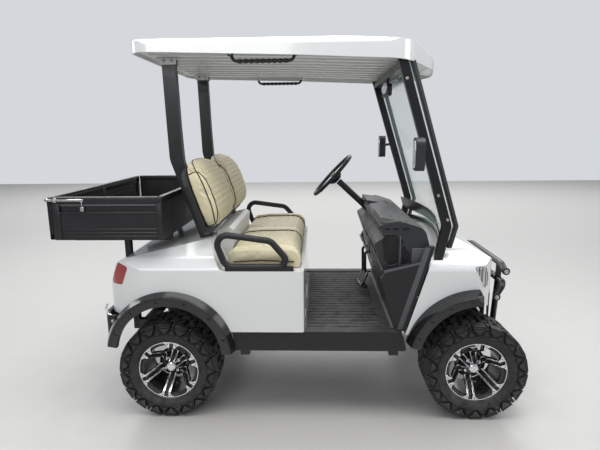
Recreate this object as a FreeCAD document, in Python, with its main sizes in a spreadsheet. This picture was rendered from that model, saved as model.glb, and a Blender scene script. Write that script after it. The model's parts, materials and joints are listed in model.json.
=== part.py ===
import FreeCAD, Part
import math
import os

import Sketcher

# Two-seat golf cart with a cargo bed, lifted on all-terrain tyres.
# Frame: X forward, Y to the left, Z up, origin on the ground below the middle of its length.

V = FreeCAD.Vector

# Driving dimensions, in millimetres and degrees
SIZES = [
    ("rear_overhang", 555),
    ("wheelbase", 1670),
    # Wheels and tyres
    ("tyre_radius", 272),
    ("tyre_width", 240),
    ("track_half", 478),
    ("lug_depth", 13),
    ("lug_count", 24),
    ("lug_length", 46),
    ("lug_width", 36),
    ("bead_radius", 150),
    ("rim_lip_radius", 165),
    ("rim_width", 196),
    ("rim_wall", 6),
    ("rim_dish", 46),
    ("spoke_pairs", 6),
    ("spoke_width", 20),
    ("spoke_depth", 26),
    ("hub_radius", 44),
    ("shaft_radius", 16),
    ("cap_radius", 30),
    ("fit_gap", 0.3),
    # Chassis, axles and steering
    ("rail_half", 185),
    ("rail_width", 44),
    ("rail_height", 70),
    ("rail_bottom", 345),
    ("hitch_spacing_y", 100),
    ("hitch_spacing_z", 25),
    ("hitch_hole_radius", 5.5),
    ("kingpin_half", 325),
    ("kingpin_radius", 9),
    ("eye_radius", 22),
    ("beam_radius", 21),
    ("steer_arm", 110),
    ("steer_arm_drop", 34),
    ("tie_rod_radius", 9),
    ("axle_tube_radius", 34),
    ("spring_width", 40),
    ("spring_leaf", 18),
    ("motor_radius", 90),
    ("motor_length", 180),
    # Floor and lower sides
    ("floor_top", 500),
    ("floor_sheet", 18),
    ("rocker_height", 108),
    ("rocker_thick", 60),
    ("side_half", 600),
    ("wall", 5),
    # Rear body and seat box
    ("seat_box_length", 747),
    ("seat_box_top", 842),
    ("deck_crown", 988),
    ("rear_arch_radius", 345),
    ("front_arch_radius", 380),
    ("flare_lip", 45),
    ("flare_band", 64),
    ("flare_wall", 7),
    # Cowl and front end
    ("cowl_half", 575),
    ("cowl_top", 966),
    ("nose_reach", 164),
    ("lamp_depth", 32),
    ("guard_tube_radius", 19),
    ("guard_half", 330),
    ("guard_upright_half", 235),
    ("front_overhang", 233),
    # Roof, struts and windscreen
    ("roof_half", 600),
    ("roof_rear_reach", 101),
    ("roof_front_setback", 170),
    ("roof_crown", 2026),
    ("roof_wall", 6),
    ("strut_half", 374),
    ("strut_depth", 70),
    ("strut_width", 44),
    ("screen_half", 526),
    ("screen_bar", 45),
    ("screen_bar_width", 30),
    ("glass_thick", 6),
    ("screen_setback", 184),
    # Seats
    ("seat_half", 545),
    ("cushion_height", 105),
    ("cushion_depth", 400),
    ("back_height", 370),
    ("back_thick", 88),
    ("back_lean", 19),
    ("back_setback", 524),
    ("shell_thick", 22),
    ("armrest_radius", 17),
    ("armrest_half", 580),
    # Steering wheel and column
    ("steering_offset", 350),
    ("steering_rim_radius", 162),
    ("steering_grip_radius", 12),
    ("column_radius", 22),
    ("column_length", 290),
    ("column_angle", 43),
    # Cargo bed
    ("bed_half", 622),
    ("bed_length", 593),
    ("bed_bottom", 1017),
    ("bed_height", 220),
    ("bed_wall", 22),
    ("bed_rail", 30),
    ("post_side", 32),
    ("pin_radius", 6),
]

doc = FreeCAD.newDocument("golf_cart")
sheet = doc.addObject("Spreadsheet::Sheet", "Sizes")
for row, (alias, amount) in enumerate(SIZES, start=1):
    sheet.set("A%d" % row, alias)
    sheet.set("B%d" % row, str(amount))
    sheet.setAlias("B%d" % row, alias)
doc.recompute()


class Size:
    """A number together with the sheet expression that gives it."""

    def __init__(self, value, text):
        self.value = value
        self.text = text

    def __add__(self, other):
        return Size(self.value + number(other), "(%s + %s)" % (self.text, text_of(other)))

    def __radd__(self, other):
        return Size(number(other) + self.value, "(%s + %s)" % (text_of(other), self.text))

    def __sub__(self, other):
        return Size(self.value - number(other), "(%s - %s)" % (self.text, text_of(other)))

    def __rsub__(self, other):
        return Size(number(other) - self.value, "(%s - %s)" % (text_of(other), self.text))

    def __mul__(self, other):
        return Size(self.value * number(other), "(%s * %s)" % (self.text, text_of(other)))

    def __rmul__(self, other):
        return Size(number(other) * self.value, "(%s * %s)" % (text_of(other), self.text))

    def __truediv__(self, other):
        return Size(self.value / number(other), "(%s / %s)" % (self.text, text_of(other)))

    def __neg__(self):
        return Size(-self.value, "(0 - %s)" % self.text)

    def __float__(self):
        return float(self.value)


def number(item):
    """The plain number of a Size or a number."""
    return float(item.value) if isinstance(item, Size) else float(item)


def text_of(item):
    """The sheet expression of a Size or a number."""
    return item.text if isinstance(item, Size) else "%.6g" % item


def cell(alias):
    """One driving dimension."""
    return Size(float(sheet.get(alias)), "Sizes.%s" % alias)


def point(x, y, z):
    """A vector from sizes or numbers."""
    return V(number(x), number(y), number(z))


# Places that many pieces share
rear_end = -(cell("rear_overhang") + cell("wheelbase") + cell("tyre_radius")) / 2
rear_axle = rear_end + cell("rear_overhang")
front_axle = rear_axle + cell("wheelbase")
axle_height = cell("tyre_radius")
guard_tip = front_axle + cell("front_overhang")
rail_top = cell("rail_bottom") + cell("rail_height")
rear_arch_x = rear_axle + 30
rear_arch_z = axle_height + 113
front_arch_x = front_axle - 10
front_arch_z = axle_height + 83
box_front = rear_axle + cell("seat_box_length")
back_foot_x = box_front - cell("back_setback")
back_foot_z = cell("seat_box_top") + 194
screen_x = front_axle - cell("screen_setback")
nose = front_axle + cell("nose_reach")
strut_top_x = rear_axle + 81
rocker_outer = cell("side_half") - 8
toe = front_axle - 425
hub_face = cell("rim_width") / 2 - cell("rim_dish")
SIDES = (("right", -1), ("left", 1))
LENGTHS = {"XY": ("XY_Plane", V(0, 0, 1)), "XZ": ("XZ_Plane", V(0, -1, 0)), "YZ": ("YZ_Plane", V(1, 0, 0))}
nodes = []


def keep(node, item):
    """Registers a document object as one node of the part."""
    item.Label = node
    nodes.append((node, item))
    return item


def origin_plane(body, role):
    """One of a body's own origin planes."""
    return next(f for f in body.Origin.OriginFeatures if f.Role == role)


def corner_points(outline):
    """The corners of an outline with the tangent points and middle of each rounded corner."""
    flat = [(number(c[0]), number(c[1]), number(c[2]) if len(c) > 2 else 0.0) for c in outline]
    result = []
    for i, (u, v, radius) in enumerate(flat):
        here = V(u, v, 0)
        if not radius:
            result.append((here, here, None))
            continue
        before = V(flat[i - 1][0], flat[i - 1][1], 0)
        after = V(flat[(i + 1) % len(flat)][0], flat[(i + 1) % len(flat)][1], 0)
        to_before = (before - here).normalize()
        to_after = (after - here).normalize()
        half = to_before.getAngle(to_after) / 2
        shorter = min((before - here).Length, (after - here).Length)
        radius = min(radius, 0.45 * shorter * math.tan(half))
        reach = radius / math.tan(half)
        centre = here + (to_before + to_after).normalize() * (radius / math.sin(half))
        start, end = here + to_before * reach, here + to_after * reach
        result.append((start, end, centre + (here - centre).normalize() * radius))
    return result


def bind(sketch, index, size):
    """Ties one constraint of a sketch to the sheet."""
    if isinstance(size, Size):
        sketch.setExpression("Constraints[%d]" % index, size.text)


def draw_outline(sketch, outline):
    """Draws a closed outline of straight sides, with a radius as an optional third value of a corner."""
    corners = corner_points(outline)
    count = len(corners)
    lines = [Part.LineSegment(corners[i][1], corners[(i + 1) % count][0]) for i in range(count)]
    first = sketch.addGeometry(lines, False)[0]
    rules = []
    sizes = []
    for i, corner in enumerate(outline):
        before, after = first + (i - 1) % count, first + i
        if corners[i][2] is None:
            rules.append(Sketcher.Constraint("Coincident", before, 2, after, 1))
            anchor = (after, 1)
        else:
            start, end, middle = corners[i]
            arc_line = Part.Arc(start, middle, end)
            arc = sketch.addGeometry(arc_line, False)
            turn = (middle - start).cross(end - middle).z
            arc_start, arc_end = (1, 2) if turn > 0 else (2, 1)
            mark = sketch.addGeometry(Part.Point(V(number(corner[0]), number(corner[1]), 0)), True)
            rules.append(Sketcher.Constraint("Tangent", before, 2, arc, arc_start))
            rules.append(Sketcher.Constraint("Tangent", arc, arc_end, after, 1))
            rules.append(Sketcher.Constraint("PointOnObject", mark, 1, before))
            rules.append(Sketcher.Constraint("PointOnObject", mark, 1, after))
            drawn = sketch.Geometry[arc].Radius
            rules.append(Sketcher.Constraint("Radius", arc, drawn))
            if drawn > 0.999 * number(corner[2]):
                sizes.append((len(rules) - 1, corner[2]))
            anchor = (mark, 1)
        rules.append(Sketcher.Constraint("DistanceX", -1, 1, anchor[0], anchor[1], number(corner[0])))
        sizes.append((len(rules) - 1, corner[0]))
        rules.append(Sketcher.Constraint("DistanceY", -1, 1, anchor[0], anchor[1], number(corner[1])))
        sizes.append((len(rules) - 1, corner[1]))
    base = sketch.ConstraintCount
    sketch.addConstraint(rules)
    for index, size in sizes:
        bind(sketch, base + index, size)


def draw_circle(sketch, u, v, radius):
    """Draws a circle whose centre and radius follow the sheet."""
    ring = sketch.addGeometry(Part.Circle(V(number(u), number(v), 0), V(0, 0, 1), number(radius)), False)
    base = sketch.ConstraintCount
    sketch.addConstraint([
        Sketcher.Constraint("DistanceX", -1, 1, ring, 3, number(u)),
        Sketcher.Constraint("DistanceY", -1, 1, ring, 3, number(v)),
        Sketcher.Constraint("Radius", ring, number(radius)),
    ])
    for index, size in enumerate((u, v, radius)):
        bind(sketch, base + index, size)


def fill_sketch(sketch, shapes):
    """Draws each shape: a list of corners, or a tuple of a centre and a radius for a circle."""
    for shape in shapes:
        if isinstance(shape, tuple):
            draw_circle(sketch, *shape)
        else:
            draw_outline(sketch, shape)


class Piece:
    """A body made of sketched features."""

    def __init__(self, node):
        self.body = doc.addObject("PartDesign::Body", node)
        self.count = 0
        keep(node, self.body)

    def sketch(self, plane, at, shapes):
        """A sketch on an origin plane, moved to a place along that plane's axis."""
        self.count += 1
        name = "%s_sketch_%d" % (self.body.Name, self.count)
        sketch = self.body.newObject("Sketcher::SketchObject", name)
        role, normal = LENGTHS[plane]
        sketch.AttachmentSupport = (origin_plane(self.body, role), [""])
        sketch.MapMode = "FlatFace"
        along = -at if plane == "XZ" else at
        sketch.AttachmentOffset = FreeCAD.Placement(V(0, 0, number(along)), FreeCAD.Rotation())
        if isinstance(along, Size):
            sketch.setExpression("AttachmentOffset.Base.z", along.text)
        fill_sketch(sketch, shapes)
        return sketch

    def feature(self, kind, sketch, length=None, symmetric=False, backwards=False, angle=None):
        """A sketched feature, with its size tied to the sheet."""
        self.count += 1
        item = self.body.newObject("PartDesign::" + kind, "%s_%s_%d" % (self.body.Name, kind, self.count))
        item.Profile = sketch
        if length is not None:
            item.Length = number(length)
            if isinstance(length, Size):
                item.setExpression("Length", length.text)
        if symmetric:
            if kind in ("Pad", "Pocket"):
                item.SideType = "Symmetric"
            else:
                item.Midplane = True
        if backwards:
            item.Reversed = True
        if angle is not None:
            item.Angle = number(angle)
        sketch.Visibility = False
        return item

    def pad(self, plane, at, length, shapes, symmetric=False, backwards=False):
        """Adds a prism that starts at a place and runs along the plane's axis."""
        return self.feature("Pad", self.sketch(plane, at, shapes), length, symmetric, backwards)

    def pocket(self, plane, at, length, shapes, symmetric=False, backwards=False):
        """Cuts a prism and checks that it cuts."""
        doc.recompute()
        before = self.body.Shape.Volume
        item = self.feature("Pocket", self.sketch(plane, at, shapes), length, symmetric, backwards)
        doc.recompute()
        if self.body.Shape.Volume > before - 1:
            raise ValueError("a pocket of %s cuts nothing" % self.body.Name)
        return item

    def turn(self, plane, at, shapes, axis="V_Axis", kind="Revolution"):
        """Adds or cuts a full turn about an axis of the sketch."""
        sketch = self.sketch(plane, at, shapes)
        item = self.feature(kind, sketch)
        item.ReferenceAxis = (sketch, [axis])
        item.Angle = 360
        return item

    def polar(self, features, count, role="Y_Axis"):
        """Repeats features round one of the body's own axes."""
        item = self.body.newObject("PartDesign::PolarPattern", self.body.Name + "_round")
        item.Originals = features
        item.Axis = (origin_plane(self.body, role), [""])
        item.Angle = 360
        item.Occurrences = int(number(count))
        if isinstance(count, Size):
            item.setExpression("Occurrences", count.text)
        self.body.Tip = item
        return item

    def mirror(self, features, role="XZ_Plane"):
        """Repeats features on the other side of one of the body's own planes."""
        item = self.body.newObject("PartDesign::Mirrored", self.body.Name + "_mirror")
        item.Originals = features
        item.MirrorPlane = (origin_plane(self.body, role), [""])
        self.body.Tip = item
        return item

    def place(self, x, y, z, rotation=None):
        """Puts the finished body at its place, tied to the sheet."""
        self.body.Placement = FreeCAD.Placement(point(x, y, z), rotation or FreeCAD.Rotation())
        for key, size in zip("xyz", (x, y, z)):
            if isinstance(size, Size):
                self.body.setExpression("Placement.Base." + key, size.text)


def computed(node, shape):
    """A node whose shape is worked out from the sheet by the functions below."""
    item = doc.addObject("Part::Feature", node)
    item.Shape = shape
    return keep(node, item)


def group(shapes):
    """Several solids as one compound."""
    return Part.makeCompound(list(shapes))


def face_of(outline, plane, at):
    """A flat face with rounded corners, at a place along a plane's axis."""
    corners = corner_points(outline)
    edges = []
    for i, (start, end, middle) in enumerate(corners):
        if middle is not None:
            edges.append(Part.Arc(start, middle, end).toShape())
        after = corners[(i + 1) % len(corners)][0]
        if (after - end).Length > 1e-6:
            edges.append(Part.LineSegment(end, after).toShape())
    face = Part.Face(Part.Wire(edges))
    turn = {
        "XY": FreeCAD.Rotation(),
        "XZ": FreeCAD.Rotation(V(1, 0, 0), 90),
        "YZ": FreeCAD.Rotation(V(1, 1, 1), 120),
    }[plane]
    shift = {"XY": V(0, 0, 1), "XZ": V(0, 1, 0), "YZ": V(1, 0, 0)}[plane] * number(at)
    face.Placement = FreeCAD.Placement(shift, turn)
    return face


def prism(outline, plane, start, end):
    """A solid between two places along a plane's axis."""
    axis = {"XY": V(0, 0, 1), "XZ": V(0, 1, 0), "YZ": V(1, 0, 0)}[plane]
    return face_of(outline, plane, start).extrude(axis * (number(end) - number(start)))


def mirrored(shape):
    """The same shape on the other side of the cart."""
    return shape.mirror(V(0, 0, 0), V(0, 1, 0))


def both_sides(shape):
    """A shape and its mirror image as one compound of two solids."""
    return group([shape, mirrored(shape)])


def tube(points, radius, bend, closed=False):
    """A round bar along straight runs joined by tangent bends, checked against section times length."""
    radius = number(radius)
    places = [point(*p) for p in points]
    count = len(places)
    pieces = []
    corners = []
    length = 0.0
    for i, here in enumerate(places):
        if not closed and i in (0, count - 1):
            corners.append((here, here))
            continue
        to_before = places[i - 1] - here
        to_after = places[(i + 1) % count] - here
        shorter = min(to_before.Length, to_after.Length)
        to_before.normalize()
        to_after.normalize()
        half = to_before.getAngle(to_after) / 2
        fitted = min(number(bend), 0.45 * shorter * math.tan(half))
        reach = fitted / math.tan(half)
        start, end = here + to_before * reach, here + to_after * reach
        centre = here + (to_before + to_after).normalize() * (fitted / math.sin(half))
        axis = (start - centre).cross(end - centre).normalize()
        ring = Part.Face(Part.Wire(Part.Circle(start, -to_before, radius).toShape()))
        turn = math.pi - 2 * half
        pieces.append(ring.revolve(centre, axis, math.degrees(turn)))
        length += fitted * turn
        corners.append((start, end))
    for i in range(count if closed else count - 1):
        start, end = corners[i][1], corners[(i + 1) % count][0]
        pieces.append(bar(start, end, radius))
        length += (end - start).Length
    solid = pieces[0].fuse(pieces[1:])
    expected = math.pi * radius ** 2 * length
    if abs(solid.Volume - expected) > 0.02 * expected:
        raise ValueError("a tube has the wrong volume")
    return solid


def bar(start, end, radius):
    """A straight round bar between two points."""
    run = end - start
    return Part.makeCylinder(number(radius), run.Length, start, run)


def join(shapes):
    """The separate solids that a list of touching shapes makes."""
    return shapes[0].fuse(shapes[1:]).removeSplitter().Solids


def block(x0, x1, y0, y1, z0, z1):
    """A box between two corners."""
    low = point(x0, y0, z0)
    high = point(x1, y1, z1)
    return Part.makeBox(high.x - low.x, high.y - low.y, high.z - low.z, low)


# Chassis frame: two long rails with cross members, its bolt holes at the rear for a hitch
def make_chassis():
    frame = Piece("chassis_frame")
    half = cell("rail_half")
    side = cell("rail_width") / 2
    start = rear_axle - 290
    end = front_axle + 130
    for sign in (-1, 1):
        frame.pad("XY", cell("rail_bottom"), cell("rail_height"), [[
            (start, sign * half - side), (end, sign * half - side),
            (end, sign * half + side), (start, sign * half + side)]])
    member = 50
    cross_height = cell("rail_height") * 0.7
    wide = cell("guard_upright_half") + 20
    for place, reach in ((start, half), (rear_axle + 330, half), (front_axle - 420, half), (end - member, wide)):
        frame.pad("XY", cell("rail_bottom"), cross_height, [[
            (place, -reach), (place + member, -reach), (place + member, reach), (place, reach)]])
    # Bolt holes of a hitch bracket, through the rear cross member
    middle = cell("rail_bottom") + cross_height / 2
    holes = [(y * cell("hitch_spacing_y") / 2, middle + z * cell("hitch_spacing_z") / 2,
              cell("hitch_hole_radius")) for y in (-1, 1) for z in (-1, 1)]
    frame.pocket("YZ", start - 1, member + 2, holes, backwards=True)
    # Outriggers under the rocker panels
    outer = cell("side_half") - cell("rocker_thick") / 2
    for place in (rear_axle + 400, front_axle - 470):
        for sign in (-1, 1):
            frame.pad("XY", cell("rail_bottom") + 20, 30, [[
                (place, sign * half), (place + member, sign * half),
                (place + member, sign * outer), (place, sign * outer)]])


# Floor: a flat sheet with a front kick-up that rises to the dash
def make_floor():
    floor = Piece("floor_pan")
    half = rocker_outer - cell("rocker_thick")
    top = cell("floor_top")
    sheet_thick = cell("floor_sheet")
    floor.pad("XZ", 0, half * 2, [[
        (box_front + 1, top - sheet_thick), (toe, top - sheet_thick), (toe + 22, top - sheet_thick + 20),
        (toe - 72, top + 320), (toe - 90, top + 320), (toe - 6, top, 20), (box_front + 1, top)]],
        symmetric=True)


# Rocker panels: the dark lower sides between the wheels
def make_rockers():
    top = cell("floor_top") + 8
    bottom = top - cell("rocker_height")
    rear = rear_arch_x + cell("rear_arch_radius") + 8
    front = front_arch_x - cell("front_arch_radius") + 4
    outline = [
        (rear - 20, top), (rear - 6, bottom, 10), (front + 8, bottom, 14), (front - 20, top)]
    panel = prism(outline, "XZ", rocker_outer - cell("rocker_thick"), rocker_outer)
    computed("rocker_panels", both_sides(panel))


def profile_solid(side, plan, front, reach):
    """The solid common to a side outline, a plan outline and a front outline."""
    long_way = prism(side, "XZ", -reach, reach)
    from_above = prism(plan, "XY", -reach, reach * 2)
    from_front = prism(front, "YZ", -reach * 2, reach * 2)
    return long_way.common(from_front).common(from_above)


# Rear body: the white shell over the rear wheels and the seat box, open below
def rear_body_solid(inset):
    half = cell("side_half") - inset
    wide = half + 2
    box_top = cell("seat_box_top") - inset
    crown = cell("deck_crown") - inset
    tail = rear_axle
    low = cell("floor_top") + 8 - (60 if inset else 0)
    side = [
        (tail - 323 + inset, low), (tail - 323 + inset, low + 113),
        (tail - 302 + inset, low + 247, 160), (tail - 248 + inset, crown - 108, 40),
        (tail - 195 + inset, crown - 82, 30), (tail + 238 - inset, crown, 30),
        (tail + 312 - inset, box_top, 30), (box_front - inset, box_top, 6 + inset),
        (box_front - inset, low)]
    plan = [
        (tail - 330 + inset, -half + 90, 160), (tail - 150, -wide, 500), (box_front + 1 - inset, -wide, 20),
        (box_front + 1 - inset, wide, 20), (tail - 150, wide, 500), (tail - 330 + inset, half - 90, 160)]
    front = [
        (-half, low - 10), (half, low - 10), (half, box_top + 10, 40), (half - 40, crown - 78, 40),
        (half - 150, crown, 60), (-half + 150, crown, 60), (-half + 40, crown - 78, 40),
        (-half, box_top + 10, 40)]
    return profile_solid(side, plan, front, 1500)


def tail_lamp_prism(clearance):
    """The side outline of a tail lamp, drawn through the rear corner."""
    tail = rear_axle
    c = clearance
    return prism([
        (tail - 239 - c, 883 + c, 12), (tail - 178 + c, 861 + c, 12),
        (tail - 222 + c, 760 - c, 14), (tail - 300 - c, 758 - c, 14)], "XZ", 380, 620)


def arch_cutter(x, z, radius, half):
    """A round cutter through both side walls."""
    return Part.makeCylinder(number(radius), 2 * half, V(number(x), -half, number(z)), V(0, 1, 0))


def make_rear_body():
    outer = rear_body_solid(0)
    inner = rear_body_solid(number(cell("wall")))
    shell = outer.cut(inner)
    arch = arch_cutter(rear_arch_x, rear_arch_z, cell("rear_arch_radius"), 700)
    lamp = tail_lamp_prism(0)
    lamp_body = lamp.common(outer).cut(rear_body_solid(number(cell("lamp_depth"))))
    shell = shell.cut(arch)
    below_tail = block(rear_axle - 400, rear_axle - 240, -700, 700, 400, 592)
    shell = shell.cut(below_tail).cut(lamp).cut(mirrored(lamp))
    computed("rear_body", shell)
    computed("tail_lamps", both_sides(lamp_body))


# Front cowl: the white nose over the front wheels, open below and behind
def cowl_solid(inset):
    half = cell("cowl_half") - inset
    crown = cell("cowl_top") - inset
    front = nose - inset
    axle = front_axle
    back = inset * 3
    side = [
        (axle - 387 - back, 482), (axle - 240 - back, crown - 4), (axle - 80, crown, 500),
        (axle + 84 - inset, crown - 84, 160), (front - 18, crown - 220, 160), (front, crown - 390, 40),
        (front - 60, crown - 392), (axle + 12 - inset, crown - 300)]
    plan = cowl_plan(inset)
    front_outline = [
        (-half, 400), (half, 400), (half, crown - 110, 60), (half - 90, crown - 30, 120),
        (0, crown + 4, 1200), (-half + 90, crown - 30, 120), (-half, crown - 110, 60)]
    return profile_solid(side, plan, front_outline, 1500)


def cowl_plan(inset):
    """The nose seen from above, moved inwards by a wall."""
    half = cell("cowl_half") - inset
    axle = front_axle
    back = inset * 3
    return [
        (axle - 400 - back, -half), (axle + 10, -half, 90), (axle + 62 - inset, -half + 60, 130),
        (nose - 12 - inset, -260 + inset, 240), (nose - inset, 0, 400), (nose - 12 - inset, 260 - inset, 240),
        (axle + 62 - inset, half - 60, 130), (axle + 10, half, 90), (axle - 400 - back, half)]


def headlight_prism(clearance):
    """The side outline of a headlight, drawn through the front corner."""
    c = clearance
    return prism([
        (front_axle - 44 - c, 858 + c, 10), (front_axle + 22 + c, 862 + c, 10),
        (front_axle + 54 + c, 768, 20), (front_axle + 20 + c, 734 - c, 16)], "XZ", 330, 620)


def make_cowl():
    outer = cowl_solid(0)
    inner = cowl_solid(number(cell("wall")))
    shell = outer.cut(inner)
    arch = arch_cutter(front_arch_x, front_arch_z, cell("front_arch_radius"), 700)
    keep_front = block(front_arch_x, front_axle + 400, -700, 700, 0, 2000)
    below_nose = prism([
        (front_arch_x - 2, 380), (front_arch_x - 2, number(front_arch_z) + 379), (front_axle + 12, 668),
        (front_axle + 99, 590), (front_axle + 99, 380)], "XZ", -700, 700)
    lamp = headlight_prism(0)
    lamp_body = lamp.common(outer).cut(cowl_solid(number(cell("lamp_depth"))))
    shell = shell.cut(arch.cut(keep_front)).cut(below_nose).cut(lamp).cut(mirrored(lamp))
    computed("front_cowl", shell)
    computed("headlights", both_sides(lamp_body))


# Front fascia: the dark curved panel with slots below the nose, on a bracket
def make_fascia():
    wall = cell("wall") + 8
    band = prism(cowl_plan(number(wall)), "XY", 430, 650).cut(prism(cowl_plan(number(wall) + 8), "XY", 400, 700))
    trapezoid = prism([(-330, 650, 20), (-250, 430, 30), (250, 430, 30), (330, 650, 20)], "YZ",
                      front_axle + 60, nose + 10)
    panel = band.common(trapezoid)
    slots = [prism([(-190, z, 8), (-190, z + 20, 8), (190, z + 20, 8), (190, z, 8)], "YZ",
                   front_axle + 60, nose + 20) for z in (460, 496, 532)]
    bracket = block(front_axle + 90, nose - 14, -60, 60, cell("rail_bottom") + cell("rail_height") * 0.7, 442)
    bracket = bracket.common(prism(cowl_plan(number(wall) + 1), "XY", 300, 500))
    computed("front_fascia", panel.cut(group(slots)).fuse(bracket))


# Side panels: the dark strip behind the cowl and the kick panel below the dash
def make_side_panels():
    half = cell("cowl_half")
    axle = front_axle
    sill = cell("floor_top") + 8
    outline = [
        (axle - 433, sill), (axle - 386, sill), (axle - 248, 965), (axle - 290, 965, 20), (axle - 316, 878),
        (axle - 496, 835), (axle - 520, 790)]
    panel = prism(outline, "XZ", half - 42, half - 4)
    computed("side_panels", both_sides(panel))


# Dash: a moulded housing with pockets, hollow below
def make_dash():
    dash = Piece("dash")
    axle = front_axle
    half = cell("cowl_half") - 42
    outline = [
        (axle - 524, 1072, 20), (axle - 505, 1007, 10), (axle - 557, 972, 20), (axle - 507, 830, 20),
        (axle - 424, 800), (axle - 270, 800), (axle - 268, 962, 20), (axle - 292, 1050, 60),
        (axle - 410, 1088, 60)]
    dash.pad("XZ", 0, half * 2, [outline], symmetric=True)
    dash.pocket("XY", 799, 210, [[
        (axle - 468, -half + 12), (axle - 282, -half + 12), (axle - 282, half - 12), (axle - 468, half - 12)]],
        backwards=True)
    wells = [[(y - 90, 860, 20), (y + 90, 860, 20), (y + 90, 955, 20), (y - 90, 955, 20)]
             for y in (-370, -120, 130)]
    dash.pocket("YZ", axle - 560, 90, wells, backwards=True)


# Wheel flares: black bands round the arches
def flare(x, z, radius, face, start, sweep, sign):
    """A flare turned about its arch centre from a closed section."""
    inner = radius - cell("flare_band")
    wall = cell("flare_wall")
    lip = cell("side_half") + cell("flare_lip")
    section = [
        (radius + 4, face), (radius + 4, face + wall), (radius - 14, lip), (inner, lip),
        (inner, lip - 26), (inner + wall, lip - 26), (inner + wall, lip - wall),
        (radius - 18, lip - wall), (radius - 6, face)]
    corners = [V(number(r) * math.cos(start), sign * number(y), number(r) * math.sin(start)) for r, y in section]
    face_wire = Part.makePolygon(corners + corners[:1])
    solid = Part.Face(face_wire).revolve(V(0, 0, 0), V(0, -1, 0), math.degrees(sweep))
    solid.Placement = FreeCAD.Placement(point(x, 0, z), FreeCAD.Rotation())
    return solid


def make_flares():
    for side, sign in SIDES:
        rear = flare(rear_arch_x, rear_arch_z, cell("rear_arch_radius"), cell("side_half"),
                     math.radians(3), math.radians(167), sign)
        computed("rear_flare_" + side, rear)
        front = flare(front_arch_x, front_arch_z, cell("front_arch_radius"), cell("cowl_half"),
                      math.radians(90), math.radians(76), sign)
        computed("front_flare_" + side, front)


# Brush guard: two cross hoops on a pair of bent uprights
def make_guard():
    radius = cell("guard_tube_radius")
    half = cell("guard_half")
    tip = guard_tip - radius
    upper = tube([
        (tip - 6, -half, 768), (tip, -half + 70, 790), (tip, half - 70, 790), (tip - 6, half, 768)], radius, 90)
    lower = tube([
        (tip - 50, -half - 4, 618), (tip, -half + 10, 690), (tip, half - 10, 690),
        (tip - 50, half + 4, 618)], radius, 60)
    beam = front_axle + 130
    middle = cell("rail_bottom") + 25
    uprights = [tube([
        (beam, y, middle), (tip - 20, y, middle), (tip - 6, y, 640), (tip, y, 790)],
        radius - 2, 60) for y in (-cell("guard_upright_half"), cell("guard_upright_half"))]
    guard = upper.fuse([lower] + uprights)
    computed("brush_guard", guard)


# Rear bumper: a dark skirt that wraps the tail corners, on two stays
def make_bumper():
    bumper = Piece("rear_bumper")
    back = rear_axle - 348
    half = cell("side_half") - 20
    bumper.pad("XY", 445, 145, [[
        (back, -half + 70, 40), (back + 36, -half, 30), (back + 80, -half, 4), (back + 80, -half + 16),
        (back + 46, -half + 18, 14), (back + 22, -half + 78, 20),
        (back + 22, half - 78, 20), (back + 46, half - 18, 14), (back + 80, half - 16), (back + 80, half, 4),
        (back + 36, half, 30), (back, half - 70, 40)]])
    rails = (-cell("rail_half"), cell("rail_half"))
    bumper.pad("XY", cell("rail_bottom") + 10, 100, [
        [(back + 22, y - 20), (rear_axle - 290, y - 20), (rear_axle - 290, y + 20), (back + 22, y + 20)]
        for y in rails])


# Roof: a crowned skin with a skirt, and a ribbed liner below it
def roof_solid(inset):
    half = cell("roof_half") - inset
    crown = cell("roof_crown") - inset
    front = front_axle - cell("roof_front_setback") - inset
    rear = rear_axle - cell("roof_rear_reach") + inset
    drop = 40 if inset else 0
    side = [
        (rear, crown - 92 - drop), (rear + 8, crown - 45, 30), (rear + 120, crown - 14, 300),
        (rear + 640, crown, 2000), (front - 190, crown - 56, 300), (front - 40, crown - 118, 40),
        (front, crown - 158), (front, crown - 166 - drop), (front - 300, crown - 140 - drop),
        (rear + 820, crown - 118 - drop)]
    plan = [
        (rear + 6, -half, 110), (front - 250, -half, 160), (front - 60, -half + 300, 320),
        (front, 0, 400), (front - 60, half - 300, 320), (front - 250, half, 160), (rear + 6, half, 110)]
    front_outline = [
        (-half, crown - 400), (half, crown - 400), (half, crown - 45, 30), (half - 60, crown - 26, 100),
        (0, crown + 2, 1500), (-half + 60, crown - 26, 100), (-half, crown - 45, 30)]
    return profile_solid(side, plan, front_outline, 3000)


def make_roof():
    outer = roof_solid(0)
    inner = roof_solid(number(cell("roof_wall")))
    computed("roof", outer.cut(inner))
    crown = cell("roof_crown")
    rear = rear_axle - cell("roof_rear_reach")
    front = front_axle - cell("roof_front_setback")
    level = [(rear + 9, crown - 78), (rear + 820, crown - 92), (front - 8, crown - 128)]
    panel = prism(level + [(x, z + 5) for x, z in reversed(level)], "XZ", -700, 700)
    ribs = [prism([(rear + 70, crown - 78), (rear + 70, crown - 90), (rear + 820, crown - 104),
                   (front - 190, crown - 126), (front - 190, crown - 112), (rear + 820, crown - 91)],
                  "XZ", y - 24, y + 24) for y in range(-440, 441, 110)]
    inside = roof_solid(number(cell("roof_wall") + cell("fit_gap")))
    computed("roof_liner", panel.fuse(ribs).common(inside))


def liner_low(x):
    """The underside of the roof liner at a place along the cart, ahead of its knee or behind it."""
    rear = rear_axle - cell("roof_rear_reach") + 9
    return cell("roof_crown") - 78 - 14 * (x - rear) / 811


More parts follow.
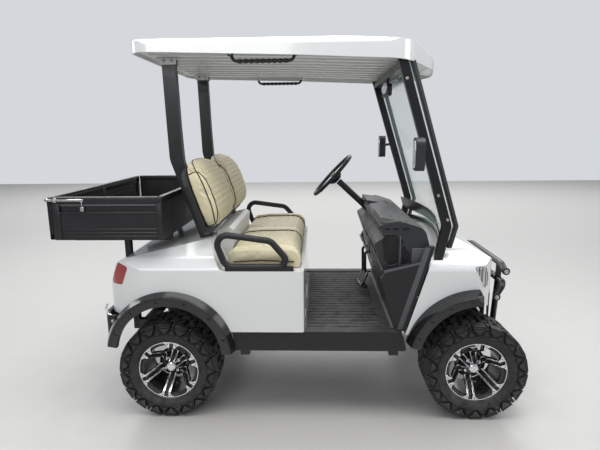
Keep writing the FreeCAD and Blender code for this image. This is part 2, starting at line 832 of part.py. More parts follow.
# Roof handles and brackets
def make_roof_fittings():
    y = 545
    start = rear_axle + 374
    handle = tube([
        (start + 24, y, liner_low(start + 24)), (start + 24, y, 1922), (start + 66, y, 1892),
        (start + 296, y, 1888), (start + 342, y, 1918), (start + 342, y, liner_low(start + 342))], 10, 24)
    handle = handle.cut(doc.getObject("roof_liner").Shape)
    computed("roof_handles", both_sides(handle))
    half = cell("strut_half")
    width = cell("strut_width") / 2
    top = cell("roof_crown")
    rear = strut_top_x - cell("strut_depth")
    inner, outer = half - width - 6, half + width
    cheeks = [block(rear - 8, strut_top_x + 8, y, y + 6, top - 126, top - 98.5) for y in (inner, outer)]
    plate = block(rear - 8, strut_top_x + 8, inner, outer + 6, top - 98.5, top - 92.5)
    computed("roof_brackets", both_sides(plate.fuse(cheeks)))


DECK_SLOPE = 82 / 433


def deck_height(x):
    """The height of the sloping rear deck above a place along the cart."""
    return cell("deck_crown") - DECK_SLOPE * (rear_axle + 238 - x)


def back_line(z):
    """The rear face of the seat back at a height, where the struts lie against it."""
    return back_foot_x - (z - back_foot_z) * math.tan(math.radians(float(cell("back_lean"))))


# Rear struts: the black box sections that carry the roof behind the seats
def make_struts():
    top = cell("roof_crown") - 98.5
    depth = cell("strut_depth")
    knee = 1400
    lean = math.tan(math.radians(float(cell("back_lean"))))
    foot_x = back_foot_x - (deck_height(back_foot_x) - back_foot_z) * lean / (1 + DECK_SLOPE * lean)
    foot_x = foot_x - cell("fit_gap")
    foot_rear = foot_x - depth
    front_edge = [(strut_top_x, top), (strut_top_x + 8, 1580, 600), (back_line(knee) - cell("fit_gap"), knee, 120),
                  (foot_x, deck_height(foot_x))]
    rear_edge = [(foot_rear, deck_height(foot_rear)), (back_line(knee) - depth - 4, knee + 10, 120),
                 (strut_top_x + 8 - depth, 1590, 600), (strut_top_x - depth, top)]
    width = cell("strut_width") / 2
    strut = prism(front_edge + rear_edge, "XZ", cell("strut_half") - width, cell("strut_half") + width)
    computed("rear_struts", both_sides(strut))


# Windscreen: bent side bars, a top bar, a curved lower bar and one sheet of glass
SLOPE = math.tan(math.radians(17))


def make_windscreen():
    half = cell("screen_half")
    side_width = cell("screen_bar_width") / 2
    depth = cell("screen_bar") / 2
    top = cell("roof_crown") - 133
    kink = cell("cowl_top") + 100
    foot = cell("cowl_top") - 28
    x_top = screen_x + (kink - top) * SLOPE
    bar_outline = [
        (x_top - depth, top), (x_top + depth, top), (screen_x + depth, kink, 60),
        (screen_x + depth - 40, foot - 60), (screen_x - depth - 40, foot - 60), (screen_x - depth - 2, kink, 60)]
    side_bar = prism(bar_outline, "XZ", half - side_width, half + side_width)
    cross = block(x_top - 10, x_top + 30, -half, half, top - 46, top - 8)
    bow = 74
    thick = 24
    sill_x = screen_x - 12
    sill_low = cell("cowl_top") - 120
    corners = [point(sill_x, -half, sill_low), point(sill_x + bow, 0, sill_low), point(sill_x, half, sill_low)]
    inner = [c - V(thick, 0, 0) for c in corners]
    sill = Part.Face(Part.Wire([
        Part.Arc(*corners).toShape(), Part.LineSegment(corners[2], inner[2]).toShape(),
        Part.Arc(inner[2], inner[1], inner[0]).toShape(), Part.LineSegment(inner[0], corners[0]).toShape(),
    ])).extrude(V(0, 0, 200))
    cowl = cowl_solid(0)
    raised = cowl.copy()
    raised.translate(V(0, 0, 24))
    frame = side_bar.fuse([mirrored(side_bar), cross, sill.common(raised)]).cut(cowl)
    computed("windscreen_frame", frame.removeSplitter())
    gap = depth + cell("fit_gap")
    lower_x = screen_x - 40 * (kink - foot - 60) / (kink - foot + 60)
    sheet_thick = cell("glass_thick")
    pane = prism([
        (x_top + gap + 8, top - 20), (x_top + gap + 8 + sheet_thick, top - 20), (screen_x + gap + sheet_thick, kink),
        (lower_x + gap + sheet_thick, foot + 60), (lower_x + gap, foot + 60), (screen_x + gap, kink)],
        "XZ", -half - 14, half + 14)
    computed("windscreen_glass", pane)


# Mirrors on the windscreen bars and the roof
def make_mirrors():
    half = cell("screen_half")
    x = screen_x - 172
    z = 1440
    shell = prism([
        (600, z - 75, 25), (686, z - 82, 25), (690, z + 70, 30), (600, z + 82, 30)], "YZ", x - 30, x + 12)
    root_x = screen_x - (z + 20 - number(cell("cowl_top")) - 100) * SLOPE
    stem = bar(point(root_x, half, z + 20), point(x - 6, 612, z + 10), 9)
    whole = shell.fuse(stem).cut(doc.getObject("windscreen_frame").Shape)
    computed("side_mirrors", both_sides(max(whole.Solids, key=lambda s: s.Volume)))
    place = screen_x - 260
    glass = prism([
        (-120, 1752, 24), (120, 1752, 24), (120, 1820, 24), (-120, 1820, 24)], "YZ", place, place + 24)
    hanger = block(place + 10, place + 20, -12, 12, 1815, cell("roof_crown") - 179)
    computed("interior_mirror", glass.fuse(hanger))


# Seat: one bench cushion, two backrests on a shell, and the white cover between them
def make_seats():
    cushion = Piece("seat_cushion")
    top = cell("seat_box_top")
    high = cell("cushion_height")
    gap = cell("fit_gap")
    front = box_front - 8
    rear = front - cell("cushion_depth")
    cushion.pad("XZ", 0, cell("seat_half") * 2, [[
        (rear, top + gap), (front - 4, top + gap, 12), (front, top + high * 0.35, 40),
        (front - 40, top + high - 8, 60), (rear + 150, top + high, 300), (rear, top + high * 0.8, 40)]],
        symmetric=True)
    lean = FreeCAD.Rotation(V(0, 1, 0), -float(cell("back_lean")))
    foot_x, foot_z = back_foot_x, back_foot_z
    shell = Piece("seat_back_shell")
    height = cell("back_height")
    shell.pad("YZ", 0, cell("shell_thick"), [[
        (-560, -20, 60), (560, -20, 60), (560, height - 60, 120), (430, height - 20, 100),
        (-430, height - 20, 100), (-560, height - 60, 120)]])
    shell.place(foot_x, 0, foot_z, lean)
    for side, sign in SIDES:
        rest = Piece("backrest_" + side)
        middle = sign * 276
        wide = 262
        rest.pad("YZ", cell("shell_thick") + 0.3, cell("back_thick"), [[
            (middle - wide, 10, 60), (middle + wide, 10, 60), (middle + wide - 20, height - 40, 130),
            (middle, height + 10, 300), (middle - wide + 20, height - 40, 130)]])
        rest.place(foot_x, 0, foot_z, lean)
    rear_face = box_front - 499
    cover = prism([
        (rear_face, 960), (rear_face, 1008, 10), (rear_face + 70, 1024, 16), (rear_face + 96, 1008, 10),
        (rear_face + 90, 930), (rear_face + 84, 843), (rear_face, 843)],
        "XZ", -330, 330)
    computed("seat_cover", cover.cut(rear_body_solid(0)))


# Armrests: closed tube loops on a base plate at each end of the seat
def make_armrests():
    y = cell("armrest_half")
    radius = cell("armrest_radius")
    loop = tube([
        (box_front - 471, y, 1042), (box_front - 169, y, 1000), (box_front - 53, y, 862),
        (box_front - 409, y, 862)], radius, 60, closed=True)
    base = block(box_front - 409, box_front - 53, y - 16, y + 16, cell("seat_box_top"), 862)
    computed("armrests", both_sides(loop.fuse(base)))


# Steering: wheel, column, and the linkage to the front wheels
COLUMN_TOP = (front_axle - 744, 1253)


def column_rotation():
    """Turns +Z to the column's upward axis."""
    return FreeCAD.Rotation(V(0, 1, 0), -(90 - float(cell("column_angle"))))


def make_steering():
    y = cell("steering_offset")
    x, z = COLUMN_TOP
    wheel = Piece("steering_wheel")
    ring = cell("steering_rim_radius")
    grip = cell("steering_grip_radius")
    wheel.turn("XZ", 0, [(ring, 0, grip)])
    wheel.pad("XY", -34, 40, [(0, 0, 34)])
    spokes = []
    spokes.append(wheel.pad("XY", -14, 12, [
        [(-14, 20), (14, 20), (14, ring - 4), (-14, ring - 4)],
        [(-14, -20), (14, -20), (14, -ring + 4), (-14, -ring + 4)],
        [(-ring + 4, -14), (-20, -14), (-20, 14), (-ring + 4, 14)]]))
    wheel.pad("XY", -90, 60, [(0, 0, 15)])
    wheel.place(x, y, z, column_rotation())
    tube_radius = cell("column_radius")
    outer = Part.makeCylinder(number(tube_radius), number(cell("column_length")), V(0, 0, -60), V(0, 0, -1))
    mouth = Part.makeCylinder(15 + number(cell("fit_gap")), 50, V(0, 0, -60), V(0, 0, -1))
    column = outer.cut(mouth)
    column.Placement = FreeCAD.Placement(point(x, y, z), column_rotation())
    doc.recompute()
    column = column.cut(doc.getObject("dash").Shape)
    computed("steering_column", max(column.Solids, key=lambda s: s.CenterOfMass.z))


def toe_board(z):
    """The cabin face of the sloping toe board at a height."""
    return toe - 6 - 84 * (z - cell("floor_top")) / 320


def make_pedals():
    y = 250
    hinge = 770
    x = front_axle - 566
    solids = []
    for shift, low, half in ((0, 520, 55), (-150, 548, 45)):
        arm = tube([(toe_board(hinge), y + shift, hinge), (toe_board(hinge) - 34, y + shift, hinge - 6),
                    (x + 34, y + shift, low + 70)], 9, 30)
        pad = prism([(x, low, 6), (x + 12, low - 6, 6), (x + 52, low + 80, 6), (x + 40, low + 86, 6)],
                    "XZ", y + shift - half, y + shift + half)
        board = doc.getObject("floor_pan").Shape
        solids.append(max(arm.fuse(pad).cut(board).Solids, key=lambda s: s.Volume))
    computed("pedals", group(solids))


def make_front_axle():
    x = front_axle
    half = number(cell("kingpin_half"))
    height = number(axle_height)
    eye = number(cell("eye_radius"))
    pin = number(cell("kingpin_radius")) + number(cell("fit_gap"))
    beam = bar(point(x, -half + eye * 0.5, height), point(x, half - eye * 0.5, height), cell("beam_radius"))
    eyes = [Part.makeCylinder(eye, 44, V(number(x), side * half, height - 22)) for side in (-1, 0, 1)]
    holes = [Part.makeCylinder(pin, 60, V(number(x), side * half, height - 30)) for side in (-1, 0, 1)]
    axle = beam.common(block(x - 60, x + 60, -half, half, 200, 400)).fuse(eyes).cut(group(holes))
    computed("front_axle", axle)


def make_knuckles():
    height = number(axle_height)
    for side, sign in SIDES:
        half = sign * number(cell("kingpin_half"))
        pin = Part.makeCylinder(number(cell("kingpin_radius")), 92, V(number(front_axle), half, height - 46))
        upper = Part.makeCylinder(20, 16, V(number(front_axle), half, height + 23))
        lower = Part.makeCylinder(20, 16, V(number(front_axle), half, height - 39))
        out = sign * (number(cell("track_half")) + number(hub_face) - 1)
        web_in = half + sign * 23.5
        ears = block(number(front_axle) - 14, number(front_axle) + 14, min(half, web_in + sign * 8),
                     max(half, web_in + sign * 8), height + 23, height + 39)
        ears2 = block(number(front_axle) - 14, number(front_axle) + 14, min(half, web_in + sign * 8),
                      max(half, web_in + sign * 8), height - 39, height - 23)
        web = block(number(front_axle) - 14, number(front_axle) + 14, min(web_in, web_in + sign * 8),
                    max(web_in, web_in + sign * 8), height - 39, height + 39)
        spindle = bar(V(number(front_axle), web_in, height), V(number(front_axle), out, height), cell("shaft_radius"))
        arm_end = front_axle - cell("steer_arm")
        arm = block(arm_end, front_axle, half - 10, half + 10, height - 39, height - 27)
        tip = Part.makeCylinder(14, 12, point(arm_end, half, height - 39))
        hole = Part.makeCylinder(6.3, 30, point(arm_end, half, height - 50))
        knuckle = pin.fuse([upper, lower, ears, ears2, web, spindle, arm, tip]).cut(hole)
        computed("knuckle_" + side, knuckle.removeSplitter())


def make_linkage():
    height = number(axle_height)
    half = cell("kingpin_half")
    x = front_axle - cell("steer_arm")
    low = height - 39 - 18
    rod = bar(point(x, -half, low), point(x, half, low), cell("tie_rod_radius"))
    studs = [Part.makeCylinder(6, 34, point(x, y, low)) for y in (-half, half, 0)]
    balls = [Part.makeSphere(13, point(x, y, low)) for y in (-half, half)]
    computed("tie_rod", rod.fuse(studs + balls))
    arm = block(x, front_axle, -10, 10, height - 39, height - 27)
    arm = arm.fuse([Part.makeCylinder(14, 12, point(x, 0, height - 39)),
                    Part.makeCylinder(18, 16, point(front_axle, 0, height - 39)),
                    Part.makeCylinder(number(cell("kingpin_radius")), 62, point(front_axle, 0, height - 39)),
                    Part.makeCylinder(14, 5, point(front_axle, 0, height + 22.5))])
    hole = Part.makeCylinder(6.3, 30, point(x, 0, height - 50))
    computed("pitman_arm", arm.cut(hole))


# Rear axle: tube, gear case and motor block
def make_rear_axle():
    x = number(rear_axle)
    height = number(axle_height)
    reach = number(cell("track_half")) + number(hub_face) - 1
    inner = number(cell("track_half")) - number(cell("tyre_width")) / 2
    tube_solid = bar(V(x, -inner + 8, height), V(x, inner - 8, height), cell("axle_tube_radius"))
    shaft = bar(V(x, -reach, height), V(x, reach, height), cell("shaft_radius"))
    case = Part.makeSphere(105, V(x, 0, height)).common(block(x - 120, x + 120, -70, 70, 100, 400))
    motor_end = number(cell("motor_length")) - 50
    motor = bar(V(x + 150, 50, height + 24), V(x + 150, -motor_end, height + 24), cell("motor_radius"))
    link = block(x, x + 150, -60, 20, height - 50, height + 40)
    computed("rear_axle", tube_solid.fuse([shaft, case, link, motor]))


def make_springs():
    leaf = number(cell("spring_leaf"))
    solids = []
    for axle, seat in ((rear_axle, number(cell("axle_tube_radius"))), (front_axle, number(cell("beam_radius")))):
        x = number(axle)
        low = number(axle_height) + seat
        high = number(cell("rail_bottom")) - leaf
        arc = Part.Arc(V(x - 230, 0, high), V(x, 0, low), V(x + 230, 0, high))
        upper = Part.Arc(V(x - 230, 0, high + leaf), V(x, 0, low + leaf), V(x + 230, 0, high + leaf))
        face = Part.Face(Part.Wire([
            arc.toShape(), Part.LineSegment(V(x + 230, 0, high), V(x + 230, 0, high + leaf)).toShape(),
            upper.toShape(), Part.LineSegment(V(x - 230, 0, high + leaf), V(x - 230, 0, high)).toShape()]))
        wide = number(cell("spring_width"))
        y = number(cell("rail_half"))
        face.translate(V(0, y - wide / 2, 0))
        solids.append(face.extrude(V(0, wide, 0)))
    computed("leaf_springs", group(solids + [mirrored(s) for s in solids]))


def make_battery():
    low = rail_top + cell("fit_gap")
    computed("battery_pack", block(box_front - 333, box_front - 43, -320, 320, low, low + 280))


# Cargo bed: open box with ribbed sides, rails and a drop-down rear gate
def make_bed():
    half = cell("bed_half")
    wall = cell("bed_wall")
    bottom = cell("bed_bottom")
    high = cell("bed_height")
    front = rear_end + cell("bed_length")
    gate = wall + 8
    bed = Piece("cargo_bed")
    bed.pad("XY", bottom, high, [[
        (rear_end + gate, -half), (front, -half), (front, half), (rear_end + gate, half)]])
    bed.pocket("XY", bottom + high + 1, high - 15, [[
        (rear_end + gate - 5, -half + wall), (front - wall, -half + wall), (front - wall, half - wall),
        (rear_end + gate - 5, half - wall)]])
    band = [[
        (rear_end - 5, bottom + high - 76), (front + 5, bottom + high - 76), (front + 5, bottom + high - 32),
        (rear_end - 5, bottom + high - 32)]]
    bed.pocket("XZ", half + 1, 9, band, backwards=True)
    bed.pocket("XZ", -half - 1, 9, band)
    barrel = 7
    axis_x, axis_z = rear_end + barrel, bottom + barrel
    bore = cell("pin_radius") / 2 + cell("fit_gap")
    ears = []
    gate_plate = block(rear_end, rear_end + wall, -half + 8, half - 8, bottom + 16, bottom + high)
    for y in (-420, 420):
        pin = bar(point(axis_x, y - 50, axis_z), point(axis_x, y + 50, axis_z), cell("pin_radius") / 2)
        for start in (y - 52, y + 32):
            ear = bar(point(axis_x, start, axis_z), point(axis_x, start + 20, axis_z), barrel)
            tab = block(axis_x, rear_end + gate, start, start + 20, bottom, axis_z)
            ears += [ear, tab]
        ears.append(pin)
        knuckle = bar(point(axis_x, y - 31, axis_z), point(axis_x, y + 31, axis_z), barrel)
        web = block(rear_end, axis_x + barrel, y - 31, y + 31, axis_z, bottom + 16)
        hole = bar(point(axis_x, y - 40, axis_z), point(axis_x, y + 40, axis_z), bore)
        gate_plate = gate_plate.fuse([knuckle, web]).cut(hole)
    doc.recompute()
    computed("bed_hinges", group(join(ears)))
    computed("tailgate", gate_plate.removeSplitter())
    latch = block(rear_end, rear_end + 200, half, half + 10, bottom + high - 20, bottom + high - 6)
    computed("bed_latches", both_sides(latch))
    posts = []
    rail_low = bottom - 36
    post = rear_axle - 232
    for y in (-450, 450):
        stand = block(post, post + 32, y - 16, y + 16, cell("deck_crown") - 130, rail_low)
        stand = stand.cut(rear_body_solid(0))
        posts.append(max(stand.Solids, key=lambda s: s.CenterOfMass.z))
        posts.append(block(rear_end + 60, front - 10, y - 20, y + 20, rail_low, bottom))
    support = [posts[0].fuse(posts[1]), posts[2].fuse(posts[3])]
    computed("bed_supports", group(support))


# Wheels: cast rims with six pairs of spokes, and lugged tyres
def make_wheel(end, x, side, sign):
    width = cell("tyre_width") / 2
    outer = cell("tyre_radius")
    base = outer - cell("lug_depth")
    bead = cell("bead_radius")
    tyre = Piece("tyre_%s_%s" % (end, side))
    seated = cell("rim_width") / 2 - 8 - cell("fit_gap")
    over_lip = cell("rim_lip_radius") + 1.5
    tyre.turn("XY", 0, [[
        (bead, -seated), (bead, seated), (over_lip, seated), (bead + 40, width - 4), (base - 50, width - 2),
        (base - 6, width - 22), (base - 6, -width + 22), (base - 50, -width + 2), (bead + 40, -width + 4),
        (over_lip, -seated)]])
    long = cell("lug_length")
    broad = cell("lug_width") / 2
    lug = tyre.pad("YZ", -broad, broad * 2, [
        [(width - 1, base - 58), (width - 1, base - 20), (width - 12, outer), (width - 12 - long, outer),
         (width - 12 - long, base - 12), (width - 26, base - 14)],
        [(-width + 1, base - 58), (-width + 1, base - 20), (-width + 12, outer), (-width + 12 + long, outer),
         (-width + 12 + long, base - 12), (-width + 26, base - 14)]])
    tyre.polar([lug], cell("lug_count"))
    tyre.place(x, sign * cell("track_half"), axle_height)
    rim = Piece("rim_%s_%s" % (end, side))
    lip = cell("rim_lip_radius")
    wall = cell("rim_wall")
    half = cell("rim_width") / 2
    gap = cell("fit_gap")
    seat = bead - gap
    rim.turn("XY", 0, [[
        (seat - wall * 2, -half), (lip, -half), (lip, -half + 5), (seat, -half + 8), (seat, half - 8),
        (lip, half - 5), (lip, half), (seat - wall, half), (seat - wall * 2, 0)]])
    hub = cell("hub_radius")
    depth = cell("spoke_depth")
    high = hub_face if sign > 0 else depth - hub_face
    rim.pad("XZ", high, depth, [(0, 0, hub)])
    broad = cell("spoke_width") / 2
    spread = 26
    spokes = rim.pad("XZ", high, depth, [
        [(6, hub - 10), (6 + broad * 2, hub - 10), (spread + broad * 2, seat - wall * 2 + 4),
         (spread, seat - wall * 2 + 4)],
        [(-6 - broad * 2, hub - 10), (-6, hub - 10), (-spread, seat - wall * 2 + 4),
         (-spread - broad * 2, seat - wall * 2 + 4)]])
    rim.polar([spokes], cell("spoke_pairs"))
    bore = cell("shaft_radius") + gap
    rim.pocket("XZ", high + 1, depth + 2, [(0, 0, bore)], backwards=True)
    cap = cell("cap_radius")
    rim.pad("XZ", hub_face + 14 if sign > 0 else -hub_face, 14, [(0, 0, cap)])
    rim.place(x, sign * cell("track_half"), axle_height)


def make_wheels():
    for end, x in (("front", front_axle), ("rear", rear_axle)):
        for side, sign in SIDES:
            make_wheel(end, x, side, sign)


def check_and_export():
    """Stops on a failed object, then writes each node's solids."""
    doc.recompute()
    for item in doc.Objects:
        if "Invalid" in item.State or "Error" in item.State:
            raise ValueError("%s failed: %s" % (item.Label, item.State))
    os.makedirs("parts", exist_ok=True)
    for node, item in nodes:
        shape = item.Shape
        if shape.isNull() or not shape.isValid() or shape.Volume <= 0:
            raise ValueError("%s has no valid shape" % node)
        shape.exportStep("parts/%s.step" % node)


def main():
    make_chassis()
    make_floor()
    make_rockers()
    make_rear_body()
    make_cowl()
    make_fascia()
    make_side_panels()
    make_dash()
    make_flares()
    make_guard()
    make_bumper()
    make_roof()
    make_roof_fittings()
    make_struts()
    make_windscreen()
    make_mirrors()
    make_seats()
    make_armrests()
    make_steering()
    make_pedals()
    make_front_axle()
    make_knuckles()
    make_linkage()
    make_rear_axle()
    make_springs()
    make_battery()
    make_bed()
    make_wheels()
    check_and_export()


main()
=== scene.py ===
"""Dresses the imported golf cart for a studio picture: wheels, seats, bed, glazing, lamps, trim and finishes."""

import json
import logging
import math
from collections.abc import Callable, Mapping, Sequence
from dataclasses import dataclass
from enum import Enum
from typing import Any

import bmesh
import bpy
from mathutils import Matrix, Vector
from mathutils.bvhtree import BVHTree

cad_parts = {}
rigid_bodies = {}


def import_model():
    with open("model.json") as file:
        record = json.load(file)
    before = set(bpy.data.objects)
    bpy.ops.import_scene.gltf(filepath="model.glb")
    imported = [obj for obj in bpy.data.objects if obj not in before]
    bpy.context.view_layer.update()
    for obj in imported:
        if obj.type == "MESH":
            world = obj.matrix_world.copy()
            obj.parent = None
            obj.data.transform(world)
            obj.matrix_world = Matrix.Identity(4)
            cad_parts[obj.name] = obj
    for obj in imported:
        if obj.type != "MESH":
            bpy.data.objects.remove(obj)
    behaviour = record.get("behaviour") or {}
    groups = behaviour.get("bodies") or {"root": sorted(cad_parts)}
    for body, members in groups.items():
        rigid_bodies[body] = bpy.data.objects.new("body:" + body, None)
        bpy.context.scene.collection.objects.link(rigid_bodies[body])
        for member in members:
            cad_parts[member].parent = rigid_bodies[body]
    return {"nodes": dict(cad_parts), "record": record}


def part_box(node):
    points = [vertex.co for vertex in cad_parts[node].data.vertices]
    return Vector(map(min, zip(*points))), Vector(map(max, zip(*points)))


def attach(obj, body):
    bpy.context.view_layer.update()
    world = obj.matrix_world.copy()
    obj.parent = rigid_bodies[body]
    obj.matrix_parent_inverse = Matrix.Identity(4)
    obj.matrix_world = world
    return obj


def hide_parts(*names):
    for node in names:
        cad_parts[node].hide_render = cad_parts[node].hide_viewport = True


log = logging.getLogger("golf_cart")

Point = tuple[float, float, float]
Outline = Sequence[tuple[float, float]]
Part = bmesh.types.BMesh
Socket = bpy.types.NodeSocket
Materials = Sequence[bpy.types.Material]
SIDES = (-1, 1)


class Plane(Enum):
    """The plane that an outline is drawn on, with the axes of its two numbers and of its depth."""

    SIDE = (0, 2, 1)
    TOP = (0, 1, 2)
    FRONT = (1, 2, 0)

    def place(self, u: float, v: float, w: float) -> Vector:
        """A point from its two outline numbers and its depth."""
        spot = Vector((0, 0, 0))
        for axis, value in zip(self.value, (u, v, w)):
            spot[axis] = value
        return spot


class Axis(Enum):
    """An axis that a profile is turned about."""

    X = (1, 0, 0)
    Y = (0, 1, 0)
    Z = (0, 0, 1)


def turned(direction: Vector) -> Matrix:
    """A turn that brings +Z to a direction."""
    return direction.to_track_quat("Z", "Y").to_matrix().to_4x4()


def mesh_from(part: Part, name: str) -> bpy.types.Mesh:
    """The mesh of a part, which is used up."""
    shell = bpy.data.meshes.new(name)
    part.to_mesh(shell)
    part.free()
    return shell


def grown(part: Part) -> list[bmesh.types.BMVert]:
    """Extrudes the faces of a flat part and gives the new points, which haven't moved yet."""
    new = bmesh.ops.extrude_face_region(part, geom=part.faces[:])["geom"]
    return [v for v in new if isinstance(v, bmesh.types.BMVert)]


def ellipse(u: float, v: float, half_u: float, half_v: float, steps: int) -> Outline:
    """The outline of an ellipse about a point."""
    angles = (math.tau * i / steps for i in range(steps))
    return [(u + half_u * math.cos(a), v + half_v * math.sin(a)) for a in angles]


class Form:
    """A piece under construction, put together from solids that bmesh operators shape."""

    def __init__(self) -> None:
        """Starts with nothing."""
        self.mesh = bmesh.new()

    def take(self, part: Part, finish: int = 0) -> "Form":
        """Adds a shaped part to the piece.

        Args:
            part: the part, which is used up.
            finish: the number of the material that it wears.
        Returns:
            The form itself.
        """
        for face in part.faces:
            face.material_index = max(face.material_index, finish)
        carrier = mesh_from(part, "part")
        self.mesh.from_mesh(carrier)
        bpy.data.meshes.remove(carrier)
        return self

    def block(self, low: Point, high: Point, edge: float = 0.0, finish: int = 0) -> "Form":
        """Adds a block between two corners.

        Args:
            low: the corner with the lowest coordinates.
            high: the opposite corner.
            edge: how far its edges are rounded.
            finish: the number of its material.
        Returns:
            The form itself.
        """
        part = bmesh.new()
        bmesh.ops.create_cube(part, size=1.0)
        size, middle = Vector(high) - Vector(low), (Vector(high) + Vector(low)) / 2
        bmesh.ops.scale(part, vec=size, verts=part.verts)
        bmesh.ops.translate(part, vec=middle, verts=part.verts)
        return self.take(rounded(part, edge), finish)

    def plate(self, plane: Plane, outline: Outline, low: float, high: float, edge: float = 0.0,
              corner: float = 0.0, finish: int = 0, shape: Callable[[Vector], Vector] | None = None,
              cuts: int = 0) -> "Form":
        """Adds an outline given a thickness.

        Args:
            plane: the plane of the outline.
            outline: its corners.
            low: where its thickness starts.
            high: where its thickness ends.
            edge: how far its edges are rounded.
            corner: how far the outline's own corners are rounded.
            finish: the number of its material.
            shape: moves each point of the finished plate.
            cuts: how often its long edges are divided before it is shaped.
        Returns:
            The form itself.
        """
        part = bmesh.new()
        ring = [part.verts.new(plane.place(u, v, low)) for u, v in outline]
        part.faces.new(ring)
        if corner:
            bmesh.ops.bevel(part, geom=part.verts[:], offset=corner, segments=4, profile=0.5,
                            affect="VERTICES", material=-1)
        bmesh.ops.translate(part, vec=plane.place(0, 0, high - low), verts=grown(part))
        bmesh.ops.recalc_face_normals(part, faces=part.faces)
        if cuts:
            bmesh.ops.triangulate(part, faces=part.faces)
            bmesh.ops.subdivide_edges(part, edges=part.edges, cuts=cuts, use_grid_fill=True)
        rounded(part, edge)
        if shape:
            for spot in part.verts:
                spot.co = shape(spot.co)
        return self.take(part, finish)

    def rod(self, start: Point, end: Point, radius: float, sides: int = 16, edge: float = 0.0,
            finish: int = 0, tip: float | None = None) -> "Form":
        """Adds a round or many-sided rod between two points.

        Args:
            start: the middle of its first end.
            end: the middle of its last end.
            radius: its radius.
            sides: how many sides it has.
            edge: how far its end edges are rounded.
            finish: the number of its material.
            tip: its radius at the last end, if that differs.
        Returns:
            The form itself.
        """
        way = Vector(end) - Vector(start)
        part = bmesh.new()
        bmesh.ops.create_cone(part, cap_ends=True, segments=sides, radius1=radius,
                              radius2=radius if tip is None else tip, depth=way.length)
        rounded(part, edge, 40)
        middle = (Vector(start) + Vector(end)) / 2
        bmesh.ops.transform(part, matrix=Matrix.Translation(middle) @ turned(way), verts=part.verts)
        return self.take(part, finish)

    def turn(self, profile: Outline, centre: Point, axis: Axis, steps: int = 48, arc: float = 360.0,
             start: float = 0.0, finish: int = 0) -> "Form":
        """Adds a profile turned about an axis.

        Args:
            profile: points as a radius and a place along the axis.
            centre: a point on the axis.
            axis: the axis.
            steps: how many steps a full turn has.
            arc: how far it is turned, in degrees.
            start: the angle that it starts from, in degrees.
            finish: the number of its material.
        Returns:
            The form itself.
        """
        line = Vector(axis.value)
        out = Vector((0, 0, 1)) if axis is not Axis.Z else Vector((1, 0, 0))
        out = Matrix.Rotation(math.radians(start), 3, line) @ out
        part = bmesh.new()
        ring = [part.verts.new(Vector(centre) + out * r + line * along) for r, along in profile]
        edges = [part.edges.new(pair) for pair in zip(ring, ring[1:] + ring[:1])]
        full = arc > 359.9
        bmesh.ops.spin(part, geom=ring + edges, cent=centre, axis=line, angle=math.radians(arc),
                       steps=steps if full else max(2, round(steps * arc / 360)), use_merge=full,
                       use_normal_flip=False, use_duplicate=False)
        if not full:
            bmesh.ops.holes_fill(part, edges=[e for e in part.edges if e.is_boundary], sides=0)
        return self.take(part, finish)

    def tube(self, way: Sequence[Point], radius: float, bend: float = 0.0, sides: int = 4, closed: bool = False,
             finish: int = 0) -> "Form":
        """Adds a tube along straight runs joined by bends.

        Args:
            way: the corners of its middle line.
            radius: its radius.
            bend: the radius of its bends.
            sides: how finely its round is divided.
            closed: whether its end joins its start.
            finish: the number of its material.
        Returns:
            The form itself.
        """
        line = bpy.data.curves.new("way", "CURVE")
        line.dimensions, line.bevel_depth, line.bevel_resolution = "3D", radius, sides
        line.use_fill_caps, line.resolution_u = not closed, 8
        spline = line.splines.new("BEZIER")
        knots: list[tuple[Vector, Vector, Vector]] = []
        spots = [Vector(p) for p in way]
        for i, here in enumerate(spots):
            ends = not closed and i in (0, len(spots) - 1)
            before, after = spots[i - 1] - here, spots[(i + 1) % len(spots)] - here
            if ends or not bend:
                knots.append((here, here, here))
                continue
            half = before.angle(after) / 2
            reach = min(bend / math.tan(half), 0.48 * min(before.length, after.length))
            pull = reach * math.tan(half) * 4 / 3 * math.tan((math.pi / 2 - half) / 2)
            first, last = here + before.normalized() * reach, here + after.normalized() * reach
            knots.append((first, first, first - before.normalized() * pull))
            knots.append((last - after.normalized() * pull, last, last))
        spline.bezier_points.add(len(knots) - 1)
        for knot, (left, middle, right) in zip(spline.bezier_points, knots):
            knot.handle_left_type = knot.handle_right_type = "FREE"
            knot.co, knot.handle_left, knot.handle_right = middle, left, right
        spline.use_cyclic_u = closed
        return self.sweep(line, finish)

    def sweep(self, line: bpy.types.Curve, finish: int = 0) -> "Form":
        """Adds the tube that a curve with a round section makes.

        Args:
            line: the curve, which is used up.
            finish: the number of its material.
        Returns:
            The form itself.
        """
        holder = bpy.data.objects.new("way", line)
        carrier = bpy.data.meshes.new_from_object(holder)
        part = bmesh.new()
        part.from_mesh(carrier)
        for thing, store in ((holder, bpy.data.objects), (line, bpy.data.curves), (carrier, bpy.data.meshes)):
            store.remove(thing)
        bmesh.ops.remove_doubles(part, verts=part.verts, dist=1e-5)
        return self.take(part, finish)

    def cord_line(self, spots: Sequence[Vector], radius: float, closed: bool = False, finish: int = 0) -> "Form":
        """Adds a thin round line through many points, such as piping on a seat.

        Args:
            spots: the points that it follows.
            radius: its radius.
            closed: whether its end joins its start.
            finish: the number of its material.
        Returns:
            The form itself.
        """
        line = bpy.data.curves.new("piping", "CURVE")
        line.dimensions, line.bevel_depth, line.bevel_resolution = "3D", radius, 2
        line.use_fill_caps, line.resolution_u = not closed, 3
        spline = line.splines.new("NURBS")
        spline.points.add(len(spots) - 1)
        for knot, spot in zip(spline.points, spots):
            knot.co = (*spot, 1)
        spline.order_u, spline.use_endpoint_u, spline.use_cyclic_u = 3, True, closed
        return self.sweep(line, finish)

